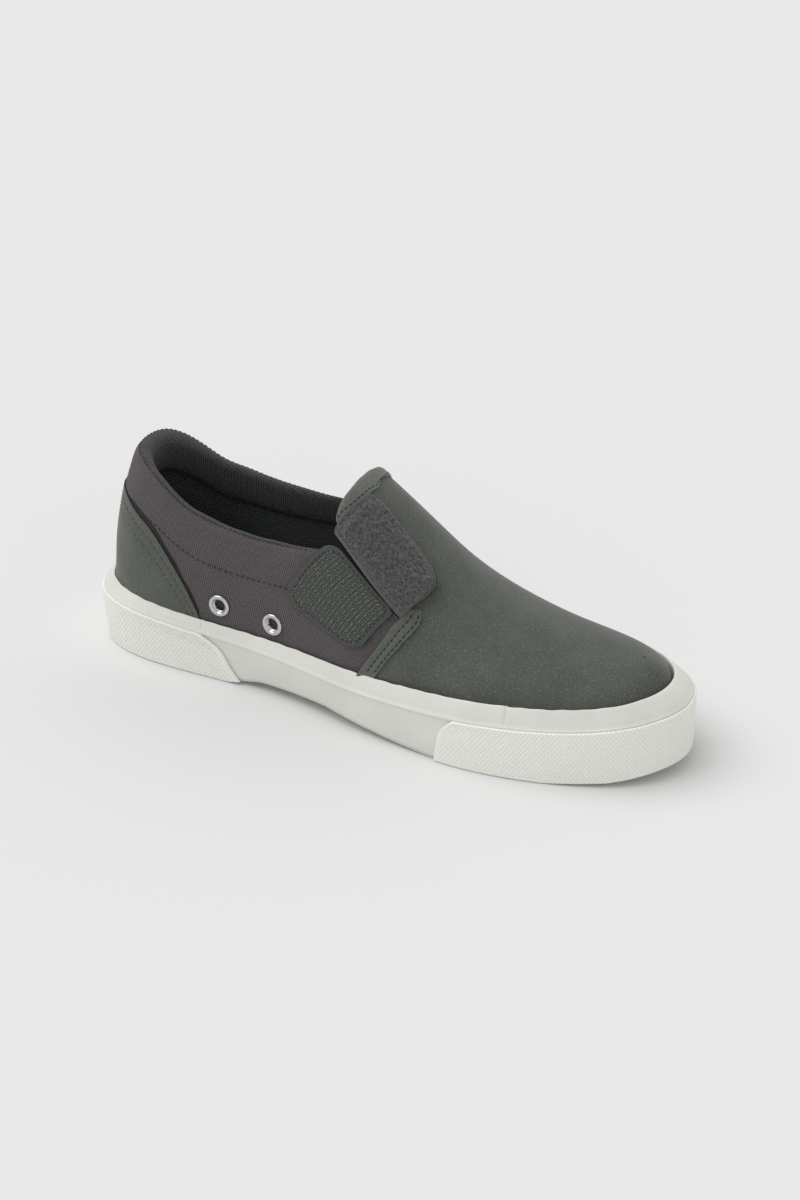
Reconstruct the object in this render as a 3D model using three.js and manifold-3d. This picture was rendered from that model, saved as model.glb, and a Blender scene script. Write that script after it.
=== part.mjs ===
// A left slip-on sneaker with an open hook-and-loop closure on its medial side.
// Millimetres, toe towards +X, medial side towards -Y, +Z up, sole on z = 0.
import * as THREE from "three";
import { mergeVertices } from "three/addons/utils/BufferGeometryUtils.js";
import Module from "manifold-3d";

const wasm = await Module();
wasm.setup();

// Driving dimensions
const length = 275;
const ballWidth = 98.5;
const soleHeight = 31;
const tongueHeight = 97;
const collarHeight = 92;
const upperWall = 2;
const panelStep = 0.8;
const overlayThickness = 1.1;
const gap = 0.3;
const guardThickness = 1.4;
const toeLip = 2;
const bandRelief = 0.7;
const rollThickness = 7.5;
const rollHeight = 24;
const footbedThickness = 5;
const grooveWidth = 3;
const grooveDepth = 1.4;
const groovePitch = 9;
const eyeletRadius = 5.3;
const eyeletHole = 2.1;
const eyeletHeight = 1.5;
const bindingThickness = 1.1;
const bindingTurn = 1.4;
const strapThickness = 1.5;
const strapLift = 1.8;
const patchThickness = 1.3;

// Tables run from heel to toe. "along" is a share of the length.
// Sole outline: half widths each side of the heel-to-toe line, shares of the ball width
const outline = [
  { along: 0.012, medial: 0.170, lateral: 0.173 },
  { along: 0.05, medial: 0.280, lateral: 0.285 },
  { along: 0.10, medial: 0.327, lateral: 0.354 },
  { along: 0.20, medial: 0.340, lateral: 0.396 },
  { along: 0.30, medial: 0.335, lateral: 0.413 },
  { along: 0.40, medial: 0.365, lateral: 0.447 },
  { along: 0.50, medial: 0.426, lateral: 0.494 },
  { along: 0.60, medial: 0.463, lateral: 0.525 },
  { along: 0.70, medial: 0.477, lateral: 0.519 },
  { along: 0.80, medial: 0.441, lateral: 0.461 },
  { along: 0.90, medial: 0.349, lateral: 0.349 },
  { along: 0.95, medial: 0.267, lateral: 0.257 },
  { along: 0.985, medial: 0.154, lateral: 0.140 },
];
const toeOffset = -0.017;

// Sole side: heights as shares of the sole height, feather inset as a share of the ball width
const side = [
  { along: 0, line: 0.82, feather: 0.99, inset: 0.066, base: 0.39 },
  { along: 0.15, line: 0.74, feather: 0.88, inset: 0.051, base: 0.39 },
  { along: 0.35, line: 0.63, feather: 0.82, inset: 0.045, base: 0.39 },
  { along: 0.55, line: 0.64, feather: 0.88, inset: 0.050, base: 0.40 },
  { along: 0.75, line: 0.74, feather: 0.985, inset: 0.061, base: 0.44 },
  { along: 0.90, line: 0.84, feather: 1.08, inset: 0.067, base: 0.49 },
  { along: 1, line: 0.97, feather: 1.17, inset: 0.105, base: 0.55 },
];

// Underside: heel and forefoot flats on the floor, arch and toe spring above it
const underside = [
  { along: 0, rise: 0.03 },
  { along: 0.05, rise: 0 },
  { along: 0.27, rise: 0 },
  { along: 0.33, rise: 0.115 },
  { along: 0.45, rise: 0.16 },
  { along: 0.60, rise: 0.035 },
  { along: 0.66, rise: 0 },
  { along: 0.83, rise: 0 },
  { along: 0.92, rise: 0.055 },
  { along: 1, rise: 0.185 },
];

// Lugs are left between grooves across the heel and the forefoot
const treads = [
  { from: 0.03, to: 0.28 },
  { from: 0.59, to: 0.93 },
];

// How far the sole side leans in towards the floor, a share of the ball width
const lean = [
  { along: 0, inset: 0.026 },
  { along: 0.3, inset: 0.016 },
  { along: 0.6, inset: 0.006 },
  { along: 1, inset: 0.004 },
];

// Last: the crest line's height as a share of the tongue height, and its shift to the lateral
// side as a share of the ball width
const crest = [
  { along: 0.145, height: 1.18, shift: 0 },
  { along: 0.255, height: 1.31, shift: 0 },
  { along: 0.364, height: 1.163, shift: 0 },
  { along: 0.462, height: 0.979, shift: 0 },
  { along: 0.545, height: 0.771, shift: 0 },
  { along: 0.636, height: 0.579, shift: 0.003 },
  { along: 0.727, height: 0.485, shift: 0.012 },
  { along: 0.80, height: 0.45, shift: 0.025 },
  { along: 0.916, height: 0.438, shift: 0.036 },
];
const crestStart = 0.145;
const crestEnd = 0.916;
const crestTiltStart = 0.2;
const crestTiltEnd = 0.4;
const crestTiltRounding = 2.5;

// Fullness of a cross-section at its crown and down its walls (2 is an ellipse)
const fullness = [
  { along: 0, crown: 2.0, wall: 2.2 },
  { along: 0.15, crown: 2.0, wall: 2.6 },
  { along: 0.35, crown: 2.0, wall: 2.65 },
  { along: 0.50, crown: 2.1, wall: 2.3 },
  { along: 0.70, crown: 2.0, wall: 2.2 },
  { along: 0.85, crown: 2.1, wall: 2.4 },
  { along: 1, crown: 2.8, wall: 3.8 },
];

// Collar edge: shares of the collar height, lower on the lateral side
const collar = [
  { along: -0.1, medial: 1.0, lateral: 1.0 },
  { along: 0.05, medial: 1.003, lateral: 1.0 },
  { along: 0.085, medial: 0.992, lateral: 0.955 },
  { along: 0.116, medial: 0.962, lateral: 0.865 },
  { along: 0.142, medial: 0.92, lateral: 0.80 },
  { along: 0.182, medial: 0.841, lateral: 0.763 },
  { along: 0.218, medial: 0.799, lateral: 0.738 },
  { along: 0.255, medial: 0.773, lateral: 0.722 },
  { along: 0.30, medial: 0.756, lateral: 0.71 },
  { along: 0.36, medial: 0.757, lateral: 0.702 },
  { along: 0.40, medial: 0.766, lateral: 0.707 },
  { along: 0.44, medial: 0.778, lateral: 0.72 },
  { along: 0.50, medial: 0.80, lateral: 0.74 },
];
const collarHalf = 0.29;
const collarRear = -0.1;

// Rear edge of the tongue seen from the side, and the front line of its binding, against
// shares of the tongue height
const tongueEdge = [
  { height: 0.60, edge: 0.441, line: 0.450 },
  { height: 0.75, edge: 0.441, line: 0.450 },
  { height: 0.84, edge: 0.441, line: 0.450 },
  { height: 0.87, edge: 0.440, line: 0.451 },
  { height: 0.905, edge: 0.436, line: 0.459 },
  { height: 0.94, edge: 0.438, line: 0.469 },
  { height: 0.973, edge: 0.444, line: 0.475 },
  { height: 1.0, edge: 0.450, line: 0.478 },
  { height: 1.25, edge: 0.49, line: 0.51 },
];

// Overlays are laid out on the last: "rise" is the share of the way up its section
const counterTop = [
  { along: 0, rise: 0.381 },
  { along: 0.04, rise: 0.363 },
  { along: 0.115, rise: 0.313 },
  { along: 0.162, rise: 0.238 },
  { along: 0.222, rise: 0.125 },
];
const counterEnd = 0.222;
const medialBand = [
  { share: 0, rearAlong: 0.512, rearRise: 0.14, frontAlong: 0.549, frontRise: 0.14 },
  { share: 0.4, rearAlong: 0.532, rearRise: 0.29, frontAlong: 0.568, frontRise: 0.30 },
  { share: 0.8, rearAlong: 0.553, rearRise: 0.43, frontAlong: 0.590, frontRise: 0.46 },
  { share: 1, rearAlong: 0.562, rearRise: 0.48, frontAlong: 0.596, frontRise: 0.54 },
];
const lateralBand = [
  { share: 0, rearAlong: 0.512, rearRise: 0.14, frontAlong: 0.549, frontRise: 0.14 },
  { share: 0.4, rearAlong: 0.530, rearRise: 0.27, frontAlong: 0.566, frontRise: 0.29 },
  { share: 0.7, rearAlong: 0.518, rearRise: 0.38, frontAlong: 0.556, frontRise: 0.43 },
  { share: 1, rearAlong: 0.462, rearRise: 0.46, frontAlong: 0.486, frontRise: 0.53 },
];
const panelTop = 0.5;
const slit = [
  { share: 0, along: 0.395, quarterRise: 0.495, tongueRise: 0.60 },
  { share: 0.5, along: 0.49, quarterRise: 0.489, tongueRise: 0.57 },
  { share: 1, along: 0.578, quarterRise: 0.486, tongueRise: 0.535 },
];
const hookCorners = [
  { along: 0.366, rise: 0.262 },
  { along: 0.503, rise: 0.214 },
  { along: 0.550, rise: 0.474 },
  { along: 0.431, rise: 0.535 },
];
const strapCorners = [
  { along: 0.427, rise: 0.574 },
  { along: 0.572, rise: 0.508 },
  { along: 0.594, rise: 0.790 },
  { along: 0.443, rise: 0.925 },
];
const loopCorners = [
  { along: 0.436, rise: 0.605 },
  { along: 0.571, rise: 0.538 },
  { along: 0.590, rise: 0.785 },
  { along: 0.447, rise: 0.903 },
];
const hookRounding = 0.2;
const strapRounding = 0.17;
const cornerFullness = 0.98;
const bindingFoot = 0.875;
const tongueLow = 0.6;
const tongueHigh = 1.25;
const eyelets = [
  { name: "eyelet_rear", along: 0.253, rise: 0.143 },
  { name: "eyelet_front", along: 0.347, rise: 0.149 },
];

// The strap's fold through the slit: rises on the last, half thicknesses of its bend in mm, and
// how far its inner face is drawn towards the slit's edge
const strapFold = {
  start: 0.06, tuck: 0.032, turnIn: 0.012, edge: 0.002, climb: 0.004, outer: 0.6, inner: 0.4, draw: 0.72,
};

// Heel and toe guards: where their inner ends lie, from the floor up to the band
const heelGuardEnd = [
  { share: 0, along: 0.292 },
  { share: 0.5, along: 0.272 },
  { share: 0.85, along: 0.25 },
  { share: 1, along: 0.226 },
];
const toeGuardEnd = [
  { share: 0, along: 0.658 },
  { share: 0.5, along: 0.664 },
  { share: 0.85, along: 0.676 },
  { share: 1, along: 0.69 },
];
const guardRows = [0, 0.35, 0.7, 0.92, 1];
const guardClearance = 0.2;
const toeLipStart = 0.69;
const toeLipSwell = 1.5;
const toeLipSlope = 0.45;
const leanSwell = 1.7;
const guardRounding = 0.35;

// The foxing's hollow between its ridge and the feather edge, and the lip of that edge in mm
const bandHollow = { inset: 0.18, rise: 0.45, lean: 0.3 };
const featherLip = { inset: 1, drop: 0.2, edgeDrop: 0.7 };

// Plates across the shoe stop short of the heel and toe by an angle
const outsoleEnd = 0.06;
const insoleEnd = 0.1;

const MEDIAL = -1;
const LATERAL = 1;
const ringSteps = 72;
const riseRows = [0, 0.07, 0.14, 0.21, 0.28, 0.35, 0.42, 0.487, 0.534, 0.6, 0.68, 0.76, 0.84, 0.92];

// A smooth curve through the rows of a table
function spline(xs, ys) {
  const n = xs.length;
  const bend = new Array(n).fill(0);
  const carry = new Array(n).fill(0);
  for (let i = 1; i < n - 1; i++) {
    const share = (xs[i] - xs[i - 1]) / (xs[i + 1] - xs[i - 1]);
    const pivot = share * bend[i - 1] + 2;
    bend[i] = (share - 1) / pivot;
    const jump = (ys[i + 1] - ys[i]) / (xs[i + 1] - xs[i]) - (ys[i] - ys[i - 1]) / (xs[i] - xs[i - 1]);
    carry[i] = ((6 * jump) / (xs[i + 1] - xs[i - 1]) - share * carry[i - 1]) / pivot;
  }
  for (let i = n - 2; i >= 0; i--) {
    bend[i] = bend[i] * bend[i + 1] + carry[i];
  }
  return (x) => {
    let i = 0;
    while (i < n - 2 && x > xs[i + 1]) {
      i++;
    }
    const step = xs[i + 1] - xs[i];
    const a = (xs[i + 1] - x) / step;
    const b = 1 - a;
    const bow = ((a ** 3 - a) * bend[i] + (b ** 3 - b) * bend[i + 1]) * (step * step) / 6;
    return a * ys[i] + b * ys[i + 1] + bow;
  };
}

function smooth(rows, column, key = "along") {
  const curve = spline(rows.map((row) => row[key]), rows.map((row) => row[column]));
  const first = rows[0][key];
  const last = rows[rows.length - 1][key];
  return (x) => curve(Math.min(Math.max(x, first), last));
}

function straight(rows, column, key = "along") {
  return (x) => {
    const next = rows.findIndex((row) => row[key] >= x);
    if (next === 0) return rows[0][column];
    if (next < 0) return rows[rows.length - 1][column];
    const a = rows[next - 1];
    const b = rows[next];
    return a[column] + ((b[column] - a[column]) * (x - a[key])) / (b[key] - a[key]);
  };
}

// Stations run round the shoe as an angle: 0 at the heel, + lateral, - medial, pi at the toe
const alongOf = (turn) => (1 - Math.cos(turn)) / 2;
const turnOf = (along, sideSign) => sideSign * Math.acos(1 - 2 * along);

const outlineTurns = [];
const outlineHalves = [];
for (const lap of [-2 * Math.PI, 0, 2 * Math.PI]) {
  for (const row of [...outline].reverse()) {
    outlineTurns.push(lap + turnOf(row.along, MEDIAL));
    outlineHalves.push(-row.medial * ballWidth);
  }
  outlineTurns.push(lap);
  outlineHalves.push(0);
  for (const row of outline) {
    outlineTurns.push(lap + turnOf(row.along, LATERAL));
    outlineHalves.push(row.lateral * ballWidth);
  }
  outlineTurns.push(lap + Math.PI);
  outlineHalves.push(toeOffset * ballWidth);
}
const outlineY = spline(outlineTurns, outlineHalves);

// A point of the sole outline moved inwards
function plan(turn, inset) {
  const reach = 0.001;
  const dx = length * (alongOf(turn + reach) - alongOf(turn - reach));
  const dy = outlineY(turn + reach) - outlineY(turn - reach);
  const span = Math.hypot(dx, dy);
  return [length * alongOf(turn) + (dy / span) * inset, outlineY(turn) - (dx / span) * inset];
}

const lineShare = smooth(side, "line");
const featherShare = smooth(side, "feather");
const insetShare = smooth(side, "inset");
const baseShare = smooth(side, "base");
const undersideShare = straight(underside, "rise");
const leanShare = smooth(lean, "inset");
const lineHeight = (along) => lineShare(along) * soleHeight;
const featherHeight = (along) => featherShare(along) * soleHeight;
const featherInset = (along) => insetShare(along) * ballWidth;
const baseHeight = (along) => baseShare(along) * soleHeight;
const undersideHeight = (along) => undersideShare(along) * soleHeight;
const leanInset = (along) => leanShare(along) * ballWidth;

const crestShare = smooth(crest, "height");
const crestShift = smooth(crest, "shift");
const crownFullness = smooth(fullness, "crown");
const wallFullness = smooth(fullness, "wall");

// The last's own surface: turn goes round the shoe, rise goes from the sole to the crest
function lastPoint(turn, rise) {
  const along = alongOf(turn);
  const [footX, footY] = plan(turn, featherInset(along));
  const crestAlong = crestStart + (crestEnd - crestStart) * along;
  const crestX = crestAlong * length;
  const crestY = crestShift(crestAlong) * ballWidth;
  const crestZ = crestShare(crestAlong) * tongueHeight;
  const probe = 0.002;
  const fall = crestShare(crestAlong + probe) - crestShare(crestAlong - probe);
  const tilt = (fall * tongueHeight) / (2 * probe * length);
  const tiltShare = Math.min(Math.max((along - crestTiltStart) / (crestTiltEnd - crestTiltStart), 0), 1);
  const footZ = baseHeight(along);
  const crown = crownFullness(along);
  const wall = wallFullness(along);
  const cos = Math.cos((rise * Math.PI) / 2);
  const sin = Math.sin((rise * Math.PI) / 2);
  let reach = 1;
  for (let pass = 0; pass < 20; pass++) {
    const across = (reach * cos) ** crown;
    const up = (reach * sin) ** wall;
    reach -= ((across + up - 1) * reach) / (crown * across + wall * up);
  }
  const inward = 1 - reach * cos;
  const up = reach * sin;
  const x = footX + (crestX - footX) * inward;
  const y = footY + (crestY - footY) * inward;
  const z = footZ + (crestZ - footZ) * up + tilt * (x - crestX) * tiltShare * up ** crestTiltRounding;
  return new THREE.Vector3(x, y, z);
}

// The same surface moved outwards by an offset
function skin(turn, rise, offset) {
  const reach = 0.002;
  const top = Math.min(rise, 1 - reach);
  const low = Math.max(top, reach);
  const round = lastPoint(turn + reach, low).sub(lastPoint(turn - reach, low));
  const climb = lastPoint(turn, low + reach).sub(lastPoint(turn, low - reach));
  const normal = climb.cross(round).normalize();
  return lastPoint(turn, rise).addScaledVector(normal, offset);
}

function solve(low, high, tooLow) {
  for (let pass = 0; pass < 30; pass++) {
    const middle = (low + high) / 2;
    if (tooLow(middle)) low = middle;
    else high = middle;
  }
  return (low + high) / 2;
}

const riseAt = (turn, height) => solve(0, 1, (rise) => lastPoint(turn, rise).z < height);

// The vamp and tongue stand one panel step proud of the quarters, from the front of the edge
// bands forward and everywhere above the slit's level
function vampStart(rows) {
  const along = smooth(rows, "frontAlong", "frontRise");
  return (rise) => (rise > panelTop ? 0 : along(rise));
}
const panelStarts = { [MEDIAL]: vampStart(medialBand), [LATERAL]: vampStart(lateralBand) };
function panelOffset(turn, rise) {
  const start = panelStarts[turn < 0 ? MEDIAL : LATERAL](rise);
  return alongOf(turn) > start ? panelStep / 2 : -panelStep / 2;
}

// Collar edge height over the whole shoe, blended from the medial to the lateral side
const collarMedial = smooth(collar, "medial");
const collarLateral = smooth(collar, "lateral");
function collarZ(x, y) {
  const across = Math.min(Math.max(0.5 + y / (2 * collarHalf * ballWidth), 0), 1);
  const along = x / length;
  return collarHeight * (collarMedial(along) * (1 - across) + collarLateral(along) * across);
}
const offsetRise = (turn, offset, lift) => solve(0, 1, (rise) => {
  const point = skin(turn, rise, offset);
  return point.z < collarZ(point.x, point.y) + lift;
});

// Closed solids from rows of points
function signedVolume(positions, index) {
  let volume = 0;
  const [a, b, c] = [new THREE.Vector3(), new THREE.Vector3(), new THREE.Vector3()];
  for (let i = 0; i < index.length; i += 3) {
    a.fromArray(positions, index[i] * 3);
    b.fromArray(positions, index[i + 1] * 3);
    c.fromArray(positions, index[i + 2] * 3);
    volume += a.dot(b.cross(c));
  }
  return volume;
}

function solid(positions, index) {
  if (signedVolume(positions, index) < 0) {
    index.reverse();
  }
  const geometry = new THREE.BufferGeometry();
  geometry.setAttribute("position", new THREE.Float32BufferAttribute(positions, 3));
  geometry.setIndex(index);
  return geometry;
}

// Loops of equal size joined in order; an open sweep is capped by ladders across its end loops
function sweep(loops, closed = false) {
  const size = loops[0].length;
  const positions = loops.flat().flatMap((point) => [point.x, point.y, point.z]);
  const index = [];
  const quad = (a, b, c, d) => index.push(a, b, c, a, c, d);
  const count = closed ? loops.length : loops.length - 1;
  for (let i = 0; i < count; i++) {
    const next = ((i + 1) % loops.length) * size;
    for (let k = 0; k < size; k++) {
      const up = (k + 1) % size;
      quad(i * size + k, i * size + up, next + up, next + k);
    }
  }
  if (!closed) {
    const last = (loops.length - 1) * size;
    for (let k = 0; k < size / 2 - 1; k++) {
      quad(k, size - 1 - k, size - 2 - k, k + 1);
      quad(last + k, last + k + 1, last + size - 2 - k, last + size - 1 - k);
    }
  }
  return solid(positions, index);
}

const steps = (count, from = 0, to = 1) =>
  Array.from({ length: count + 1 }, (_, i) => from + ((to - from) * i) / count);

// A sheet with two faces: point(u, v, face) with face 0 inside and 1 outside
function sheet(point, us, vs) {
  return sweep(us.map((u) => [
    ...vs.map((v) => point(u, v, 1)),
    ...[...vs].reverse().map((v) => point(u, v, 0)),
  ]));
}

// A plate across the shoe: outline(turn) on each side, lower and upper faces
function plate(point, turns) {
  return sweep(turns.map((turn) => [point(-turn, 1), point(turn, 1), point(turn, 0), point(-turn, 0)]));
}

// A full dome over the last with a flat underside
function dome(offsetOf, drop) {
  const positions = [];
  const index = [];
  const put = ({ x, y, z }) => positions.push(x, y, z) / 3 - 1;
  const half = ringSteps / 2;
  const turns = steps(ringSteps, -Math.PI, Math.PI).slice(0, ringSteps);
  const rows = riseRows.map((rise) => turns.map((turn) => {
    const point = skin(turn, rise, offsetOf(turn, rise));
    point.z -= rise === 0 ? drop : 0;
    return put(point);
  }));
  const ridge = steps(half, -Math.PI, 0).map((turn) => {
    const near = skin(turn, 1, offsetOf(turn, 1));
    return put(near.add(skin(-turn, 1, offsetOf(-turn, 1))).multiplyScalar(0.5));
  });
  rows.push(turns.map((_, i) => ridge[Math.min(i, ringSteps - i)]));
  for (let j = 0; j < riseRows.length; j++) {
    for (let i = 0; i < ringSteps; i++) {
      const next = (i + 1) % ringSteps;
      index.push(rows[j][i], rows[j][next], rows[j + 1][next]);
      index.push(rows[j][i], rows[j + 1][next], rows[j + 1][i]);
    }
  }
  const foot = rows[0];
  for (let i = 0; i < half; i++) {
    const [a, b] = [foot[i], foot[i + 1]];
    const [c, d] = [foot[ringSteps - i - 1], foot[(ringSteps - i) % ringSteps]];
    if (b !== c) index.push(a, c, b);
    if (a !== d) index.push(a, d, c);
  }
  return solid(positions, index);
}

// Booleans
function toManifold(geometry) {
  const bare = geometry.clone();
  bare.deleteAttribute("normal");
  bare.deleteAttribute("uv");
  const merged = mergeVertices(bare, 1e-4);
  return new wasm.Manifold(new wasm.Mesh({
    numProp: 3,
    vertProperties: new Float32Array(merged.attributes.position.array),
    triVerts: new Uint32Array(merged.index.array),
  }));
}

function fromManifold(body) {
  const mesh = body.getMesh();
  const geometry = new THREE.BufferGeometry();
  geometry.setAttribute("position", new THREE.Float32BufferAttribute([...mesh.vertProperties], 3));
  geometry.setIndex([...mesh.triVerts]);
  return geometry;
}

// A side profile, in x and z, carried right across the shoe
function acrossShoe(points, slices = 1) {
  const shape = new THREE.Shape(points.map(([x, z]) => new THREE.Vector2(x, z)));
  const across = { depth: 2 * ballWidth, steps: slices, bevelEnabled: false };
  const geometry = new THREE.ExtrudeGeometry(shape, across);
  geometry.rotateX(Math.PI / 2);
  return geometry.translate(0, ballWidth, 0);
}

const edgeAlong = smooth(tongueEdge, "edge", "height");
const lineAlong = smooth(tongueEdge, "line", "height");
const tongueLevels = steps(16, tongueLow, tongueHigh);
const footDrop = soleHeight / 4;

// Everything above the collar edge and behind the tongue
function collarCutter() {
  const low = 0;
  const stations = steps(34, collarRear, edgeAlong(tongueLow));
  const high = tongueHeight * 1.5;
  const points = [
    [stations[0] * length, high],
    ...stations.map((along) => [along * length, low]),
    ...tongueLevels.map((level) => [edgeAlong(level) * length, level * tongueHeight]),
    [edgeAlong(tongueHigh) * length, high],
  ];
  const geometry = acrossShoe(points, 16);
  const position = geometry.attributes.position;
  for (let i = 0; i < position.count; i++) {
    if (Math.abs(position.getZ(i) - low) < gap) {
      position.setZ(i, collarZ(position.getX(i), position.getY(i)));
    }
  }
  return toManifold(geometry);
}

// A block standing through the wall of the last
function slitCutter() {
  const along = smooth(slit, "along", "share");
  const lower = smooth(slit, "quarterRise", "share");
  const upper = smooth(slit, "tongueRise", "share");
  const depth = upperWall * 3;
  return toManifold(sheet((u, v, face) => {
    const rise = lower(u) + (upper(u) - lower(u)) * v;
    return skin(turnOf(along(u), MEDIAL), rise, face ? depth : -depth);
  }, steps(8), steps(2)));
}

// A solid of revolution turned to stand on the medial wall
function onWall(geometry, { along, rise }, offset) {
  const turn = turnOf(along, MEDIAL);
  const foot = skin(turn, rise, offset);
  const normal = skin(turn, rise, offset + 1).sub(foot);
  const turned = new THREE.Quaternion().setFromUnitVectors(new THREE.Vector3(0, 1, 0), normal.normalize());
  geometry.applyQuaternion(turned);
  return geometry.translate(foot.x, foot.y, foot.z);
}

function upperGeometry() {
  let body = toManifold(dome(panelOffset, 0));
  const inside = (turn, rise) => panelOffset(turn, rise) - upperWall;
  body = body.subtract(toManifold(dome(inside, footDrop)));
  body = body.subtract(collarCutter());
  body = body.subtract(slitCutter());
  for (const eyelet of eyelets) {
    const boreRadius = eyeletHole + 2 * gap;
    const bore = new THREE.CylinderGeometry(boreRadius, boreRadius, upperWall * 4, 20);
    body = body.subtract(toManifold(onWall(bore, eyelet, 0)));
  }
  return fromManifold(body);
}

// Rolled collar padding inside the topline, thinner towards the tongue
const rollSection = [
  { depth: 0, lift: -1 },
  { depth: 0, lift: -0.4 },
  { depth: 0, top: 0.6 },
  { depth: 0.15, top: 2.1 },
  { depth: 0.45, top: 2.8 },
  { depth: 0.8, top: 1.9 },
  { depth: 1, lift: -0.08 },
  { depth: 1.1, lift: -0.35 },
  { depth: 1, lift: -0.65 },
  { depth: 0.6, lift: -0.93 },
];
const rollTaper = [
  { along: 0, depth: 1 },
  { along: 0.2, depth: 0.85 },
  { along: 0.42, depth: 0.5 },
];
const rollEnd = 0.404;
const rollHeightLimit = 0.3;

function collarRollGeometry() {
  const taper = smooth(rollTaper, "depth");
  const end = turnOf(rollEnd, LATERAL);
  const inner = upperWall + panelStep / 2 + gap;
  return sweep(steps(40, -end, end).map((turn) => {
    const thick = rollThickness * taper(alongOf(turn)) - inner / 2;
    const low = Math.min(rollHeight, rollHeightLimit * collarHeight);
    return rollSection.map((row) => {
      const depth = inner + row.depth * thick;
      const lift = row.top === undefined ? row.lift * low : row.top;
      return skin(turn, offsetRise(turn, -depth, lift), -depth);
    });
  }));
}

// Sole
function outsoleGeometry() {
  const turns = steps(44, outsoleEnd, Math.PI - outsoleEnd);
  const slab = plate((turn, face) => {
    const along = alongOf(turn);
    const [x, y] = plan(turn, featherInset(along) - panelStep / 2);
    return new THREE.Vector3(x, y, face ? baseHeight(along) - gap : undersideHeight(along));
  }, turns);
  let body = toManifold(slab);
  for (const tread of treads) {
    const run = (tread.to - tread.from) * length;
    const count = Math.floor(run / groovePitch);
    for (let i = 1; i <= count; i++) {
      const along = tread.from + ((tread.to - tread.from) * i) / (count + 1);
      const groove = new THREE.BoxGeometry(grooveWidth, 2 * ballWidth, 2 * grooveDepth);
      groove.translate(along * length, 0, undersideHeight(along));
      body = body.subtract(toManifold(groove));
    }
  }
  return fromManifold(body);
}

function guardDepth(along) {
  const share = Math.max(0, (along - toeLipStart) / (1 - toeLipStart));
  return guardThickness + toeLip * share ** toeLipSwell;
}

function foxingGeometry() {
  const turns = steps(ringSteps, -Math.PI, Math.PI).slice(0, ringSteps);
  return sweep(turns.map((turn) => {
    const along = alongOf(turn);
    const wall = guardDepth(along) + gap;
    const line = lineHeight(along);
    const feather = featherHeight(along);
    const floor = undersideHeight(along) + guardClearance;
    const inner = featherInset(along) - panelStep / 2 - gap;
    const bandEdge = wall - bandRelief;
    const corner = bandEdge + bandHollow.inset * (inner - bandEdge);
    const at = (inset, z) => {
      const [x, y] = plan(turn, inset);
      return new THREE.Vector3(x, y, z);
    };
    return [
      at(wall + leanInset(along), floor),
      at(wall + bandHollow.lean * leanInset(along), (floor + line) / 2),
      at(wall, line - gap),
      at(bandEdge, line + gap),
      at(corner, line + bandHollow.rise * (feather - line)),
      at(inner - featherLip.inset, feather - featherLip.drop),
      at(inner, feather - featherLip.edgeDrop),
      at(inner, floor),
    ];
  }), true);
}

function guardGeometry(rows, isHeel) {
  const end = smooth(rows, "along", "share");
  const point = (u, share, face) => {
    const endTurn = turnOf(end(share), LATERAL);
    const turn = isHeel ? u * endTurn : Math.PI + u * (Math.PI - endTurn);
    const along = alongOf(turn);
    const floor = undersideHeight(along);
    const lip = isHeel ? 0 : (guardDepth(along) - guardThickness) * toeLipSlope;
    const top = lineHeight(along) - gap - guardClearance - (face ? lip : 0);
    const z = floor + (top - floor) * share;
    const inset = leanInset(along) * (1 - share) ** leanSwell + (face ? 0 : guardDepth(along));
    const rounding = face && share === 1 ? guardRounding * guardDepth(along) : 0;
    const [x, y] = plan(turn, inset + rounding);
    return new THREE.Vector3(x, y, z);
  };
  return sheet(point, steps(30, -1, 1), guardRows);
}

function insoleGeometry() {
  const clearance = 3 * gap;
  return plate((turn, face) => {
    const along = alongOf(turn);
    const [x, y] = plan(turn, featherInset(along) + panelStep / 2 + upperWall + clearance);
    return new THREE.Vector3(x, y, baseHeight(along) + (face ? footbedThickness : 0));
  }, steps(32, insoleEnd, Math.PI - insoleEnd));
}

// Overlays on the upper
function counterGeometry() {
  const top = smooth(counterTop, "rise");
  const end = turnOf(counterEnd, LATERAL);
  return sheet((turn, v, face) => {
    const along = alongOf(turn);
    const bottom = riseAt(turn, featherHeight(along) + gap);
    const rise = bottom + (top(along) - bottom) * v;
    return skin(turn, rise, gap - panelStep / 2 + face * overlayThickness);
  }, steps(28, -end, end), steps(5));
}

function bandGeometry(rows, sideSign) {
  const column = (name) => smooth(rows, name, "share");
  const [rearAlong, rearRise] = [column("rearAlong"), column("rearRise")];
  const [frontAlong, frontRise] = [column("frontAlong"), column("frontRise")];
  return sheet((u, v, face) => {
    const turn = turnOf(rearAlong(u) + (frontAlong(u) - rearAlong(u)) * v, sideSign);
    const foot = riseAt(turn, featherHeight(alongOf(turn)) + gap);
    const rise = foot + (rearRise(u) + (frontRise(u) - rearRise(u)) * v - rearRise(0)) *
      ((rearRise(1) - foot) / (rearRise(1) - rearRise(0)));
    return skin(turn, rise, panelStep / 2 + gap + face * overlayThickness);
  }, steps(12), steps(2));
}

// A four-cornered patch with round corners, laid on the medial side of the last
function patchPoint(corners, t, v) {
  const mix = (name) => {
    const low = corners[0][name] + (corners[1][name] - corners[0][name]) * t;
    const high = corners[3][name] + (corners[2][name] - corners[3][name]) * t;
    return low + (high - low) * v;
  };
  return { turn: turnOf(mix("along"), MEDIAL), rise: mix("rise") };
}

function cornerInset(t, radius) {
  const near = Math.max(0, radius - Math.min(t, 1 - t)) / radius;
  return radius * (1 - Math.sqrt(1 - near * near * cornerFullness));
}

const patchStations = [0, 0.03, 0.08, 0.16, 0.28, 0.4, 0.5, 0.6, 0.72, 0.84, 0.92, 0.97, 1];

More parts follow.
